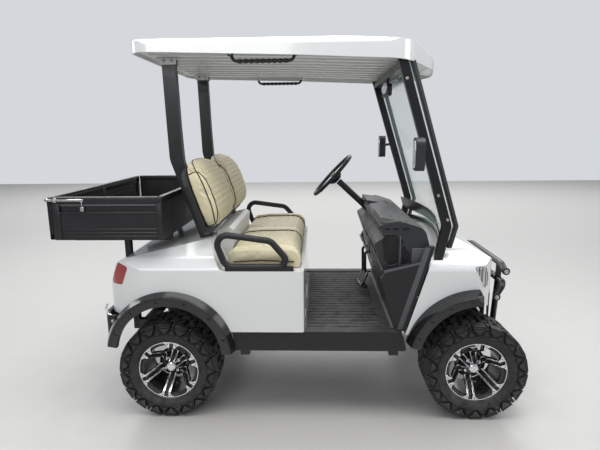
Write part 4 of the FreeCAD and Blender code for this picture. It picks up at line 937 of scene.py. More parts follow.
@dataclass
class Wheel:
    """An all-terrain tyre on a twin-spoke rim, modelled about its own axle and then set in place."""

    radius: float = 0.272
    half: float = 0.120
    bead: float = 0.150
    pitches: int = 18
    lip: float = 0.165
    rim_half: float = 0.098
    knee: float = 0.070
    knee_depth: float = 0.004
    pairs: int = 6
    nuts: int = 4
    nut_circle: float = 0.0405
    phase: float = 9.0

    def around(self, steps: int) -> list[Matrix]:
        """Equal turns about the axle, without the first."""
        return [Matrix.Rotation(math.tau * i / steps, 4, "Y") for i in range(1, steps)]

    def carcass(self) -> Form:
        """The tyre's smooth wall and the floor of its tread."""
        w, r = self.half, self.radius - 0.012
        wall = [(self.bead, 0.088), (self.bead + 0.004, 0.094), (self.bead + 0.016, 0.0975), (0.172, 0.1045),
                (0.176, 0.1048), (0.179, 0.1065), (0.192, w - 0.0055), (0.204, w - 0.003), (0.211, w - 0.004),
                (0.216, w - 0.010), (0.230, w - 0.013), (0.243, w - 0.020), (0.252, w - 0.028), (r, w - 0.042),
                (r + 0.001, 0.03)]
        closed = [(rad, -y) for rad, y in wall] + [(rad, y) for rad, y in reversed(wall)]
        return Form().turn(closed, (0, 0, 0), Axis.Y, steps=108)

    def sink(self, part: Part, face: bmesh.types.BMFace, rim: float) -> None:
        """Sinks a groove in a block's face, between a rim and a raised middle; the groove's walls and floor get the
        darker rubber as painted shade.

        Args:
            part: the block.
            face: its face.
            rim: how wide the rim is.
        """
        for thick, depth, finish in ((rim, 0.0, 0), (0.0024, -0.0042, 1), (0.0012, 0.0, 1), (0.0022, 0.0040, 1)):
            ring = bmesh.ops.inset_region(part, faces=[face], thickness=thick, depth=depth)["faces"]
            for each in ring:
                each.material_index = 2 * finish

    def side_lug(self) -> Part:
        """One raised triangle on the tyre's wall, which points outwards, with a sunk outline in it."""
        part = bmesh.new()
        outline = [(-0.0245, 0.2105), (0.0245, 0.2105), (0.0050, 0.2570), (-0.0050, 0.2570)]
        ring = [part.verts.new((x, -(self.half - 0.018), z)) for x, z in outline]
        part.faces.new(ring)
        for spot in grown(part):
            spot.co = (spot.co.x * 0.90, -self.half + 0.0004 + 0.35 * max(0.0, spot.co.z - 0.225) ** 2 * 22,
                       0.233 + (spot.co.z - 0.233) * 0.95)
        bmesh.ops.recalc_face_normals(part, faces=part.faces)
        self.sink(part, min(part.faces, key=lambda f: f.calc_center_median().y), 0.0042)
        return part

    def shoulder(self) -> Form:
        """The blocks of one pitch on the near side: triangle, wide shoulder block and tread ribs."""
        form = Form().take(self.side_lug())
        r, w = self.radius, self.half

        def spread(spot: Vector) -> Vector:
            """Narrows the shoulder block towards the axle."""
            share = min(1.0, max(0.16, (spot.z - 0.222) / 0.034))
            return Vector((spot.x * share, spot.y, spot.z - spot.x ** 2 * 1.8))

        wide = Form()
        section = [(-w + 0.014, 0.224), (-w - 0.0005, 0.226), (-w + 0.001, 0.250), (-w + 0.010, r - 0.003),
                   (-w + 0.018, r), (-0.064, r), (-0.060, r - 0.014), (-w + 0.020, 0.246)]
        wide.plate(Plane.FRONT, section, -0.0335, 0.0335, edge=0.0012, shape=spread)
        face = min(wide.mesh.faces, key=lambda f: f.normal.y * f.calc_area())
        self.sink(wide.mesh, face, 0.0040)
        wide.move(Matrix.Rotation(math.radians(180 / self.pitches), 4, "Y"))
        form.take(wide.mesh)
        top = r - 0.0006
        form.plate(Plane.TOP, [(-0.0075, -w + 0.019), (0.0075, -w + 0.019), (0.014, -0.066), (-0.004, -0.064)],
                   r - 0.016, top, edge=0.0012)
        form.plate(Plane.TOP, [(-0.030, -0.056), (0.006, -0.056), (0.020, -0.034), (0.006, -0.007), (-0.030, -0.007),
                               (-0.018, -0.032)], r - 0.015, top, edge=0.0012)
        form.plate(Plane.TOP, [(0.014, -0.058), (0.038, -0.058), (0.052, -0.034), (0.040, -0.004), (0.016, -0.004),
                               (0.030, -0.032)], r - 0.015, top, edge=0.0012,
                   shape=lambda s: Vector((s.x, s.y, s.z - max(0.0, s.x) ** 2 * 1.7)))
        return form

    def tyre(self) -> Form:
        """The whole tyre about its axle."""
        blocks = self.shoulder()
        blocks.copies(self.around(self.pitches))
        blocks.mark(1, lambda face: face.material_index == 0)
        other = bmesh.ops.duplicate(blocks.mesh, geom=blocks.mesh.verts[:] + blocks.mesh.edges[:]
                                    + blocks.mesh.faces[:])["geom"]
        turned_half = Matrix.Rotation(math.radians(180 / self.pitches), 4, "Y") @ Matrix.Scale(-1, 4, (0, 1, 0))
        bmesh.ops.transform(blocks.mesh, matrix=turned_half,
                            verts=[v for v in other if isinstance(v, bmesh.types.BMVert)])
        form = self.carcass()
        # Painted shade: the tread floor between the blocks gets the darker groove rubber.
        form.mark(2, lambda face: face.calc_center_median().xz.length > 0.2165)
        form.take(blocks.mesh)
        return form

    def barrel(self, form: Form) -> None:
        """The rim's barrel with its two flanges and a thin bright lip."""
        h, lip, bead = self.rim_half, self.lip, self.bead - 0.0003
        form.turn([(bead - 0.009, -h + 0.015), (0.1585, -h + 0.007), (0.1600, -h + 0.0006), (lip - 0.0004, -h + 0.0006),
                   (lip, -h + 0.003), (lip - 0.001, -h + 0.006), (bead + 0.002, -h + 0.008), (bead, -h + 0.016),
                   (bead - 0.007, -0.052), (bead - 0.008, 0.052), (bead, h - 0.016), (bead + 0.002, h - 0.008),
                   (lip, h - 0.006), (lip, h), (bead - 0.005, h), (bead - 0.012, 0.058), (bead - 0.0125, 0.0),
                   (bead - 0.012, -0.050)],
                  (0, 0, 0), Axis.Y, steps=96)
        form.turn([(lip - 0.0046, -h + 0.0001), (lip - 0.0010, -h + 0.0001), (lip + 0.0001, -h + 0.0014),
                   (lip - 0.0046, -h + 0.0014)], (0, 0, 0), Axis.Y, steps=96, finish=1)

    def face(self, reach: float) -> float:
        """Where the spokes' face lies at a distance from the axle: out at the lip, deep at the knee, out at the cap."""
        way = ((0.0, -0.0537), (0.028, -0.0537), (self.knee, self.knee_depth), (0.131, -self.rim_half + 0.0006),
               (1.0, -self.rim_half + 0.0006))
        for (low, first), (high, last) in zip(way, way[1:]):
            if reach <= high:
                return first + (last - first) * (reach - low) / (high - low)
        return way[-1][1]

    def spokes(self, form: Form) -> None:
        """Six pairs of bent arms with a black channel between them, which widen into feet at the lip."""
        foot = [(0.0105, 0.1295), (0.0218, 0.1295), (0.0238, 0.1380), (0.0290, 0.1455), (0.0430, 0.1520),
                (0.0425, 0.1560), (0.0260, 0.1600), (0.0105, 0.1615)]
        slope = [(0.0105, self.knee), (0.0213, self.knee), (0.0215, 0.1300), (0.0105, 0.1300)]
        neck = [(0.0080, 0.0275), (0.0155, 0.0275), (0.0213, self.knee + 0.0005), (0.0105, self.knee + 0.0005)]

        def dished(spot: Vector) -> Vector:
            """Bends the arm in to the knee and out again."""
            return Vector((spot.x, spot.y + self.face(spot.z), spot.z))

        pair = Form()
        for side in SIDES:
            for outline, thick in ((foot, 0.010), (slope, 0.026), (neck, 0.024)):
                pair.plate(Plane.SIDE, [(side * x, z) for x, z in outline], 0.0, thick, edge=0.0011, shape=dished)
            spot = Vector((side * 0.0222, self.face(0.150), 0.1510))
            pair.rod(tuple(spot + Vector((0, 0.002, 0))), tuple(spot - Vector((0, 0.0005, 0))), 0.0033, 12, finish=2)
        for low, high in ((0.0300, self.knee), (self.knee, 0.1305), (0.1300, 0.1615)):
            pair.plate(Plane.SIDE, [(-0.0125, low), (0.0125, low), (0.0125, high), (-0.0125, high)], 0.0095, 0.020,
                       finish=2, shape=dished)
        pair.mark(1, lambda face: face.normal.y < -0.30 and face.material_index == 0)
        pair.mark(0, lambda face: face.material_index == 2)
        pair.copies(self.around(self.pairs))
        form.take(pair.mesh)

    def hub(self, form: Form) -> None:
        """The cone that comes out of the rim's middle, with its bright cap and the wheel nuts between the spokes."""
        deep, knee = self.knee_depth, self.knee
        form.turn([(0.0175, -0.0470), (0.0270, -0.0470), (0.0310, -0.0400), (knee - 0.004, deep + 0.004),
                   (knee + 0.014, deep + 0.008), (knee + 0.016, deep + 0.014), (knee - 0.010, deep + 0.024),
                   (0.0175, deep + 0.026)], (0, 0, 0), Axis.Y, steps=60)
        form.turn([(0.001, -0.0625), (0.015, -0.0620), (0.0225, -0.0600), (0.0262, -0.0560), (0.0270, -0.0465),
                   (0.0200, -0.0465), (0.0190, -0.0518), (0.001, -0.0518)], (0, 0, 0), Axis.Y, steps=48, finish=1)
        for i in range(self.nuts):
            angle = math.radians(45 + 360 / self.nuts * i)
            spot = (self.nut_circle * math.sin(angle), -0.026, self.nut_circle * math.cos(angle))
            form.bolt(spot, (0, -1, 0), 0.0075, 0.010, finish=1)

    def rim(self) -> Form:
        """The whole rim about its axle."""
        form = Form()
        self.barrel(form)
        self.spokes(form)
        self.hub(form)
        return form

    def build(self) -> None:
        """Builds one tyre and one rim and puts them on all four wheels."""
        carriers = [mesh_from(form.mesh, "wheel") for form in (self.tyre(), self.rim())]
        for end in ("front", "rear"):
            for side, sign in (("right", 1), ("left", -1)):
                label = end + "_" + side
                low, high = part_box("tyre_" + label)
                centre = (low + high) / 2
                centre.z = self.radius
                seat = Matrix.Translation(centre) @ Matrix.Scale(sign, 4, (0, 1, 0))
                seat = seat @ Matrix.Rotation(math.radians(self.phase), 4, "Y")
                bright = PALETTE.machined(label, tuple(centre))
                for kind, carrier, finishes, slot in (
                        ("tyre", carriers[0], PALETTE.of("sidewall", "tread", "groove"), "tyre_rubber"),
                        ("rim", carriers[1], [*PALETTE.of("rim_black"), bright], "rim_black")):
                    form = Form()
                    form.mesh.from_mesh(carrier)
                    form.move(seat)
                    form.done("wheel_%s_%s" % (kind, label), finishes, "wheel_" + label, slot,
                              ["%s_%s" % (kind, label)])
        for carrier in carriers:
            bpy.data.meshes.remove(carrier)


# Quilting: how deep its valleys are and how much darker the colour is along them, each with its width; how far a
# diamond puffs up; and how far from a seam the diamonds are at full depth.
VALLEY = (0.0036, 0.0046)
VALLEY_TINT = (0.75, 0.0026)
PUFF = 0.0026
FADE = 0.008
# The cloth simulation: the pressure in a pad, and how many frames it runs.
PRESSURE = 3.0
FRAMES = 20


def swell(gap: float, width: float, power: int = 2) -> float:
    """A smooth bump of height one about zero."""
    return math.exp(-(gap / width) ** power)


class Padding:
    """A stuffed pad: remeshed, blown up by a cloth simulation, smoothed and then sewn."""

    def __init__(self, form: Form, name: str, voxel: float, cap: float) -> None:
        """Remeshes the shape that the pad starts from.

        Args:
            form: that shape, a little smaller than the pad.
            name: the pad's name.
            voxel: the size of the new mesh's faces.
            cap: how far the simulation may move a point.
        """
        bmesh.ops.recalc_face_normals(form.mesh, faces=form.mesh.faces)
        self.piece = bpy.data.objects.new(name, mesh_from(form.mesh, name))
        self.cap = cap
        bpy.context.scene.collection.objects.link(self.piece)
        mesher = self.piece.modifiers.new("remesh", "REMESH")
        mesher.mode, mesher.voxel_size = "VOXEL", voxel
        self.apply()

    def apply(self) -> None:
        """Makes the modifiers' result the pad's own mesh."""
        graph = bpy.context.evaluated_depsgraph_get()
        result = bpy.data.meshes.new_from_object(self.piece.evaluated_get(graph))
        old = self.piece.data
        self.piece.modifiers.clear()
        self.piece.data = result
        bpy.data.meshes.remove(old)
        result.name = self.piece.name

    def inflate(self) -> None:
        """Blows the pad up like a cushion with no weight, no point further than the cap."""
        start = [v.co.copy() for v in self.piece.data.vertices]
        cloth = self.piece.modifiers.new("cloth", "CLOTH")
        cloth.settings.quality, cloth.settings.mass = 5, 0.3
        cloth.settings.tension_stiffness = cloth.settings.compression_stiffness = 12
        cloth.settings.shear_stiffness, cloth.settings.bending_stiffness = 6, 2.0
        cloth.settings.use_pressure, cloth.settings.uniform_pressure_force = True, PRESSURE
        cloth.settings.effector_weights.gravity = 0
        scene = bpy.context.scene
        cloth.point_cache.frame_start, cloth.point_cache.frame_end = 1, FRAMES
        for frame in range(1, FRAMES + 1):
            scene.frame_set(frame)
        self.apply()
        scene.frame_set(1)
        for spot, before in zip(self.piece.data.vertices, start):
            step = spot.co - before
            if step.length > self.cap:
                spot.co = before + step * (self.cap / step.length)

    def stuff(self, axis: int, least: float) -> None:
        """Inflates the pad, keeps its flat side flat and smooths it once.

        Args:
            axis: the axis that the flat side looks down.
            least: where the flat side lies on it.
        """
        self.inflate()
        for spot in self.piece.data.vertices:
            spot.co[axis] = max(spot.co[axis], least)
        finer = self.piece.modifiers.new("finer", "SUBSURF")
        finer.levels = finer.render_levels = 1
        self.apply()

    def sew(self, rule: Callable[[Vector, Vector], tuple[float, float]]) -> BVHTree:
        """Draws seams and quilting into the pad.

        Args:
            rule: gives how deep a point is drawn in and how much darker its colour is there.
        Returns:
            The sewn surface, for piping to be laid on.
        """
        shell = self.piece.data
        mask = shell.attributes.new("sewn", "FLOAT", "POINT")
        normals = [n.vector.copy() for n in shell.vertex_normals]
        for i, spot in enumerate(shell.vertices):
            depth, valley_tint = rule(spot.co, normals[i])
            spot.co -= normals[i] * depth
            mask.data[i].value = valley_tint
        return BVHTree.FromObject(self.piece, bpy.context.evaluated_depsgraph_get())


def quilt(across: float, along: float, width: float, height: float, edge: float,
          seam: float) -> tuple[float, float]:
    """The depth of diamond quilting at a place, and how much darker the colour is there.

    Args:
        across: the place across the panel.
        along: the place along it.
        width: a diamond's width.
        height: a diamond's height.
        edge: how far away the panel's seam is, towards which the diamonds fade.
        seam: how deep that seam draws the surface in.
    Returns:
        How far the surface is drawn in, and how much darker the colour is there.
    """
    first, second = across / width + along / height, across / width - along / height
    scale = width * height / math.hypot(width, height)
    gap = min(abs(first - round(first)), abs(second - round(second))) * scale
    puff = min(1.0, gap / (0.34 * scale)) ** 0.6
    depth, fade = VALLEY[0] * swell(gap, VALLEY[1]) + PUFF * (1 - puff), min(1.0, edge / FADE)
    return depth * fade + seam, VALLEY_TINT[0] * swell(gap, VALLEY_TINT[1]) * fade


@dataclass
class Seats:
    """The bench cushion and the two backrests in quilted vinyl, with dark piping along their seams."""

    foot: Point = (-0.4705, 0.0, 1.036)
    lean: float = 19.0
    middle: float = 0.276
    half_wide: float = 0.259
    half_high: float = 0.192
    centre_high: float = 0.192
    back: float = 0.0232
    diamond: tuple[float, float] = (0.040, 0.062)
    panel: float = 0.229
    bench_back: float = -0.352
    bench_front: float = 0.0415
    bench_low: float = 0.8425
    bench_half: float = 0.540
    strip: float = 0.050
    bolster: float = 0.474
    piping: float = 0.0034

    def lean_back(self) -> Matrix:
        """The turn and move from a backrest's own axes to the cart's."""
        return Matrix.Translation(self.foot) @ Matrix.Rotation(math.radians(-self.lean), 4, "Y")

    def outline(self, across: float, up: float) -> tuple[float, float]:
        """Draws a square in to a backrest's outline, which has rounder corners at the top.

        Args:
            across: the place across the square, from -1 to 1.
            up: the place up it, from -1 to 1.
        Returns:
            The place in the outline, in the same measure.
        """
        power = 3.0 if up > 0 else 7.0
        reach = max(abs(across), abs(up))
        size = (abs(across) ** power + abs(up) ** power) ** (1 / power) or 1.0
        return across * reach / size, up * reach / size

    def front_of(self, up: float, inward: float) -> float:
        """How far a backrest's face stands off the shell.

        Args:
            up: the place up it, from -1 to 1.
            inward: the distance from the seam at its side wall.
        Returns:
            The distance in metres.
        """
        wall = 0.020 + 0.046 * (1 - abs(up + 0.08) ** 2.6 / 1.25)
        return self.back + wall + 0.021 * (1 - (1 - min(1.0, inward / 0.042)) ** 2.0)

    def backrest(self, label: str, sign: int) -> None:
        """Builds one backrest with its piping.

        Args:
            label: right or left.
            sign: its side of the cart.
        """
        part = bmesh.new()
        bmesh.ops.create_cube(part, size=2.0)
        bmesh.ops.subdivide_edges(part, edges=part.edges, cuts=20, use_grid_fill=True)
        for spot in part.verts:
            depth, across, up = spot.co
            inward = (1 - max(abs(across), abs(up))) * self.half_high
            across, up = self.outline(across, up)
            front = self.front_of(up, inward)
            spot.co = (self.back + (front - self.back) * (depth + 1) / 2, sign * self.middle + across * self.half_wide,
                       self.centre_high + up * self.half_high)
        pad = Padding(Form().take(part), "backrest_pad_" + label, 0.0060, 0.007)
        pad.stuff(0, self.back - 0.0005)

        def seams(spot: Vector, normal: Vector) -> tuple[float, float]:
            """Diamonds in the middle panel, and the drawn-in seams beside it."""
            side = abs(spot.y - sign * self.middle)
            if normal.x < 0.1 and normal.z < 0.4:
                return 0.0, 0.0
            edge = abs(side - self.panel)
            seam = 0.0035 * swell(edge, 0.005)
            if side > self.panel:
                return seam, 0.0
            return quilt(spot.y - sign * self.middle, spot.z - spot.x, *self.diamond, edge, seam)

        line, tree = Form(), pad.sew(seams)
        for side in SIDES:
            self.face_line(line, tree, sign * self.middle + side * self.panel)
        self.rim_line(line, tree, sign)
        where = self.lean_back()
        pad.piece.data.transform(where)
        self.cover(pad, "backrest_" + label)
        line.move(where).done("backrest_piping_" + label, PALETTE.of("piping"))

    def cover(self, pad: Padding, node: str) -> None:
        """Puts a sewn pad on the cart in the place of a CAD node."""
        put_on(pad.piece, PALETTE.of("leather"), "cart", [node], 70)

    def draw(self, line: Form, tree: BVHTree, rays: Sequence[tuple[Vector, Vector]], closed: bool = False) -> None:
        """Lays piping where rays meet the pad.

        Args:
            line: the piping's form.
            tree: the pad's surface.
            rays: where each ray aims and where it comes from.
            closed: whether the piping is a loop.
        """
        spots = []
        for aim, way in rays:
            hit = tree.ray_cast(aim + way.normalized() * 0.5, -way.normalized())
            if hit[0] is not None:
                spots.append(hit[0] + hit[1] * self.piping * 0.45)
        smooth = [(a + b * 2 + c) / 4 for a, b, c in zip(spots, spots[1:], spots[2:])]
        line.cord_line(smooth if closed else spots[:1] + smooth + spots[-1:], self.piping, closed=closed)

    def face_line(self, line: Form, tree: BVHTree, side: float) -> None:
        """Piping from below a backrest up its face and over its top, at one place across it."""
        rays = []
        for i in range(40):
            angle = math.radians(-84 + i * 4.3)
            way = Vector((math.cos(angle), 0, math.sin(angle)))
            rays.append((Vector((self.back + 0.004, side, self.centre_high + 0.13 * math.sin(angle))), way))
        self.draw(line, tree, rays)

    def rim_line(self, line: Form, tree: BVHTree, sign: int) -> None:
        """Piping all round a backrest, where its face meets its side walls."""
        rays = []
        for i in range(96):
            angle = math.tau * i / 96
            square = Vector((math.cos(angle), math.sin(angle)))
            square /= max(abs(square.x), abs(square.y))
            across, up = self.outline(*square)
            aim = Vector((self.front_of(up, 0.0) - 0.004, sign * self.middle + across * (self.half_wide - 0.012),
                          self.centre_high + up * (self.half_high - 0.012)))
            rays.append((aim, Vector((0.75, across, up))))
        self.draw(line, tree, rays + rays[:2], closed=True)

    def bench(self) -> None:
        """Builds the bench cushion with its piping."""
        low, back, front = self.bench_low + 0.002, self.bench_back, self.bench_front
        section = [(back, low), (front - 0.008, low), (front - 0.001, low + 0.026), (front - 0.004, low + 0.056),
                   (front - 0.018, low + 0.080), (front - 0.046, low + 0.097), (front - 0.10, low + 0.102),
                   (-0.22, low + 0.100), (back + 0.03, low + 0.090), (back, low + 0.070)]
        part = bmesh.new()
        ring = [part.verts.new((x, -self.bench_half, z)) for x, z in section]
        part.faces.new(ring)
        bmesh.ops.translate(part, vec=(0, 2 * self.bench_half, 0), verts=grown(part))
        across = [e for e in part.edges if abs(e.verts[0].co.y - e.verts[1].co.y) > 0.5]
        bmesh.ops.subdivide_edges(part, edges=across, cuts=72)
        for spot in part.verts:
            side = abs(spot.co.y)
            lift = 0.013 * swell(side - 0.505, 0.030, 4) + 0.011 * swell(side, 0.046, 4)
            if spot.co.z > low + 0.05:
                spot.co.z += lift - 0.006
            if spot.co.x > front - 0.03:
                spot.co.x += lift * 0.4 - 0.004
        bmesh.ops.triangulate(part, faces=part.faces)
        pad = Padding(Form().take(part), "bench_pad", 0.0070, 0.006)
        pad.stuff(2, self.bench_low)

        def seams(spot: Vector, normal: Vector) -> tuple[float, float]:
            """Diamonds on the two seats, and drawn-in seams between the plain strips and them."""
            side = abs(spot.y)
            if normal.z < -0.2 or normal.x < -0.5 or side > self.bench_half - 0.008:
                return 0.0, 0.0
            seam = sum(0.0040 * swell(side - at, 0.006) for at in (self.strip, self.bolster))
            if not self.strip < side < self.bolster:
                return seam, 0.0
            edge = min(side - self.strip, self.bolster - side)
            return quilt(spot.y, spot.x - (spot.z - 0.94), self.diamond[1] * 0.8, self.diamond[0], edge, seam)

        line, tree = Form(), pad.sew(seams)
        for side in (-self.bolster, -self.strip, self.strip, self.bolster):
            self.over_line(line, tree, side, 0.0)
        for sign in SIDES:
            self.over_line(line, tree, sign * (self.bench_half - 0.010), sign)
        self.nose_line(line, tree)
        self.cover(pad, "seat_cushion")
        line.done("bench_piping", PALETTE.of("piping"))

    def over_line(self, line: Form, tree: BVHTree, side: float, outward: float) -> None:
        """Piping over the bench from its back to its front edge at one place across it.

        Args:
            line: the piping's form.
            tree: the bench's surface.
            side: the place across it.
            outward: how far the rays lean to the side.
        """
        rays = []
        for i in range(60):
            share = i / 59
            angle = math.radians(176 - 178 * share)
            way = Vector((math.cos(angle) ** 3, outward, max(0.0, math.sin(angle))))
            rays.append((Vector((self.bench_back + 0.04 + 0.31 * share, side, self.bench_low + 0.035)), way))
        self.draw(line, tree, rays)

    def nose_line(self, line: Form, tree: BVHTree) -> None:
        """Piping across the bench, low on its front edge."""
        rays = []
        for i in range(60):
            side = (i / 59 * 2 - 1) * (self.bench_half - 0.012)
            rays.append((Vector((0.0, side, self.bench_low + 0.020)), Vector((1, 0, 0))))
        self.draw(line, tree, rays)

    def build(self) -> None:
        """Builds the three pads."""
        self.bench()
        self.backrest("right", -1)
        self.backrest("left", 1)


@dataclass
class Bed:
    """The cargo bed's rails, bands and ribs, its latches and its drop gate."""

    rear: float = -1.2185
    front: float = -0.6555
    side: float = 0.622
    low: float = 1.017
    top: float = 1.237
    rail: float = 0.031
    rail_over: float = 0.0015
    rib_start: float = 1.031
    rib_pitch: float = 0.0185
    floor_ribs: int = 13
    floor_pitch: float = 0.088
    gate_half: float = 0.614
    gate_back: float = -1.2485
    gate_front: float = -1.2265
    latch_y: float = 0.6285
    latch_z: float = 1.2245

    def walls(self) -> None:
        """Rails, a light strip in the recessed band, a lip and fine ribs on the bed's walls."""
        y, back, nose = self.side, self.rear, self.front
        under, over = self.top - self.rail, self.top + self.rail_over
        form = Form().block((back, y - 0.026, under), (nose, y + 0.004, over), 0.004)
        form.block((back + 0.04, y - 0.012, under - 0.014), (nose - 0.008, y - 0.0005, under - 0.003), 0.0015, 1)
        form.block((back, y - 0.004, 1.153), (nose, y + 0.0028, 1.162), 0.002)
        for step in range(3):
            z = self.rib_start + self.rib_pitch * step
            form.block((back + 0.045, y - 0.003, z), (nose - 0.012, y + 0.0032, z + 0.009), 0.003)
        form.block((back, y - 0.004, self.low + 0.001), (back + 0.040, y + 0.0055, under), 0.004)
        form.block((nose - 0.030, y - 0.004, self.low + 0.001), (nose, y + 0.0050, under), 0.004)
        form.mirror().block((nose - 0.025, -y, under), (nose + 0.003, y, over), 0.004)
        form.done("bed_rails", PALETTE.of("box_black", "trim_strip"))
        floor = Form()
        for place in range(self.floor_ribs):
            y = (place - (self.floor_ribs - 1) / 2) * self.floor_pitch
            floor.block((back + 0.030, y - 0.012, 1.036), (nose - 0.035, y + 0.012, 1.043), 0.003)
        floor.done("bed_floor_ribs", PALETTE.of("box_black"))

    def gate(self) -> None:
        """The gate: a panel with framed fields, fine ribs and a rounded top rim."""
        y, low, high, back, front = self.gate_half, self.low, self.top, self.gate_back, self.gate_front
        form = Form().block((back + 0.002, -y, low), (front - 0.002, y, high - 0.010), 0.003)
        for start, end in ((-y, -0.020), (0.020, y)):
            for z in (low, high - 0.045):
                form.block((back, start, z), (front, end, z + 0.034), 0.004)
        for place in (-y, -0.034, y - 0.068):
            form.block((back, place, low + 0.001), (front, place + 0.068, high - 0.012), 0.004)
        form.block((back, -y, high - 0.014), (front, y, high), 0.005)
        for step in range(3):
            z = low + 0.049 + 0.038 * step
            form.block((back + 0.0002, -y + 0.075, z), (front - 0.001, y - 0.075, z + 0.012), 0.003)
        form.done("tailgate_panel", PALETTE.of("box_black"), "tailgate", "box_black", ("tailgate",))

    def latches(self) -> None:
        """A chrome bar on each corner of the gate, with a hooked eye and a block."""
        y, z = self.latch_y, self.latch_z
        form = Form().block((-1.236, y - 0.0045, z - 0.006), (-1.0535, y + 0.0035, z + 0.006), 0.003)
        form.rod((-1.0545, y - 0.0045, z), (-1.0545, y + 0.0035, z), 0.006, 20, 0.001)
        form.turn([(0.0045, -0.005), (0.0085, -0.005), (0.0085, 0.004), (0.0045, 0.004)], (-1.2400, y, z), Axis.Y, 28)
        form.rod((-1.2400, y - 0.006, z), (-1.2400, y + 0.005, z), 0.0042, 16, 0.001, 1)
        form.block((-1.204, y - 0.008, z - 0.0115), (-1.186, y + 0.006, z + 0.010), 0.002, 1)
        form.bolt((-1.196, y + 0.005, z - 0.001), (0, 1, 0), 0.0035, 0.004, 6, 1)
        form.rod((-1.062, y - 0.004, z - 0.006), (-1.062, y - 0.004, z - 0.046), 0.0035, 12, 0.001, 1)
        form.block((-1.072, y - 0.009, z - 0.058), (-1.052, y - 0.0005, z - 0.036), 0.002, 1)
        form.mirror().done("bed_latch_bars", PALETTE.of("chrome", "bolt_zinc"), slot="latch_chrome",
                           replaces=("bed_latches",))

    def build(self) -> None:
        """Builds all of the bed's pieces."""
        self.walls()
        self.gate()
        self.latches()


@dataclass
class Canopy:
    """What hangs from the roof and the screen: handles, bolts, edge strips and mirror faces."""

    handle_y: float = 0.545
    handle_ends: tuple[float, float] = (-0.293, 0.021)
    handle_low: float = 1.890
    waves: int = 9
    wave_pitch: float = 0.028
    bracket_bolts: tuple[float, float] = (-0.668, -0.626)
    bar_bolts: Point = (1.800, 1.225, 1.100)
    bar_face: float = 0.5405
    bar_top: tuple[float, float] = (0.5396, 1.893)
    slope: float = 0.3057
    sill_bow: float = 0.072
    sill_x: float = 0.761
    sill_low: float = 1.000
    oval_z: float = 1.7995

    def bar_x(self, z: float) -> float:
        """Where a screen bar stands at a height."""
        return self.bar_top[0] + (self.bar_top[1] - z) * self.slope

    def handle(self, name: str, side: int, feet: str) -> None:
        """A soft grip with finger waves between two bolted feet.

        Args:
            name: the piece's name.
            side: 1 for the left side, -1 for the right.
            feet: the finish of its feet.
        """
        y, low, (back, front) = side * self.handle_y, self.handle_low, self.handle_ends
        form = Form().tube([(back, y, low + 0.036), (back + 0.013, y, low), (front - 0.013, y, low),
                            (front, y, low + 0.036)], 0.0078, 0.024, 5)
        for place in range(self.waves):
            form.ball((back + 0.045 + place * self.wave_pitch, y, low - 0.0007), (0.0165, 0.0112, 0.0112))
        for x in self.handle_ends:
            form.block((x - 0.0135, y - 0.016, 1.912), (x + 0.0135, y + 0.010, 1.938), 0.006, 1)
            form.bolt((x, y - 0.0155, 1.923), (0, -1, 0), 0.0045, 0.005, 8, 2)
        replaced = ("roof_handles",) if side > 0 else ()
        form.done(name, PALETTE.of("grip_black", feet, "bolt_zinc"), slot="trim_dark", replaces=replaced)

    def brackets(self) -> None:
        """A washer and a bolt on each bracket at a strut's top, and on the screen bars."""
        form = Form()
        for x in self.bracket_bolts:
            form.bolt((x, 0.4015, 1.917), (0, 1, 0), 0.0068, 0.008)
        for z in self.bar_bolts:
            x = self.bar_x(z) - (0.004 if z > 1.2 else -0.01)
            form.bolt((x, self.bar_face, z), (0, 1, 0), 0.0052, 0.005, 12)
        form.mirror()
        for x in self.bracket_bolts:
            form.bolt((x, -0.347, 1.917), (0, 1, 0), 0.0068, 0.008).bolt((x, 0.347, 1.917), (0, -1, 0), 0.0068, 0.008)
        form.done("frame_bolts", PALETTE.of("bolt_zinc"))

    def screen(self) -> None:
        """A second strip in front of each bar, and a curved dark band along the foot of the glass."""
        form = Form()
        for lift, width, finish in ((0.036, 0.010, 0), (0.046, 0.014, 1)):
            line = [(self.bar_x(1.885), 1.885), (0.7905, 1.066), (0.762, 0.950)]
            outline = [(x + lift, z) for x, z in line] + [(x + lift + width, z) for x, z in reversed(line)]
            form.plate(Plane.SIDE, outline, 0.514, 0.5385, 0.0015, 0, finish)
        form.mirror()
        low, high, half = self.sill_low, self.sill_low + 0.078, 0.522

        def bowed(spot: Vector) -> Vector:
            """Bends the band to the glass's foot and leans it with the glass."""
            bow = self.sill_bow * (1 - (spot.y / 0.526) ** 2)
            return Vector((self.sill_x + bow + spot.x - (spot.z - low) * self.slope, spot.y, spot.z))

        form.plate(Plane.FRONT, [(-half, low), (half, low), (half, high), (-half, high)], 0.0, 0.005, shape=bowed,
                   cuts=20)
        form.done("windscreen_edge_strips", PALETTE.of("frame_black", "axle_steel"))

    def mirrors(self) -> None:
        """Silver faces in bezels on the side mirrors and on the oval one inside."""
        form = Form()
        outline = [(0.607, 1.372), (0.676, 1.366), (0.684, 1.440), (0.676, 1.512), (0.612, 1.506)]
        form.plate(Plane.FRONT, outline, 0.5885, 0.5925, 0.0015, 0.016, 1)
        inner = [(0.645 + (y - 0.645) * 0.88, 1.439 + (z - 1.439) * 0.91) for y, z in outline]
        form.plate(Plane.FRONT, inner, 0.5875, 0.590, 0.0006, 0.014)
        form.mirror()
        form.plate(Plane.FRONT, ellipse(0, self.oval_z, 0.112, 0.036, 40), 0.5295, 0.5345, 0.001, 0, 1)
        form.plate(Plane.FRONT, ellipse(0, self.oval_z, 0.1064, 0.03096, 40), 0.5280, 0.531, 0.0005)
        form.done("mirror_faces", PALETTE.of("mirror_silver", "grip_black"))

    def build(self) -> None:
        """Builds all of the roof's and the screen's small pieces."""
        self.handle("roof_handle_left", 1, "cover_white")
        self.handle("roof_handle_right", -1, "grip_black")
        self.brackets()
        self.screen()
        self.mirrors()


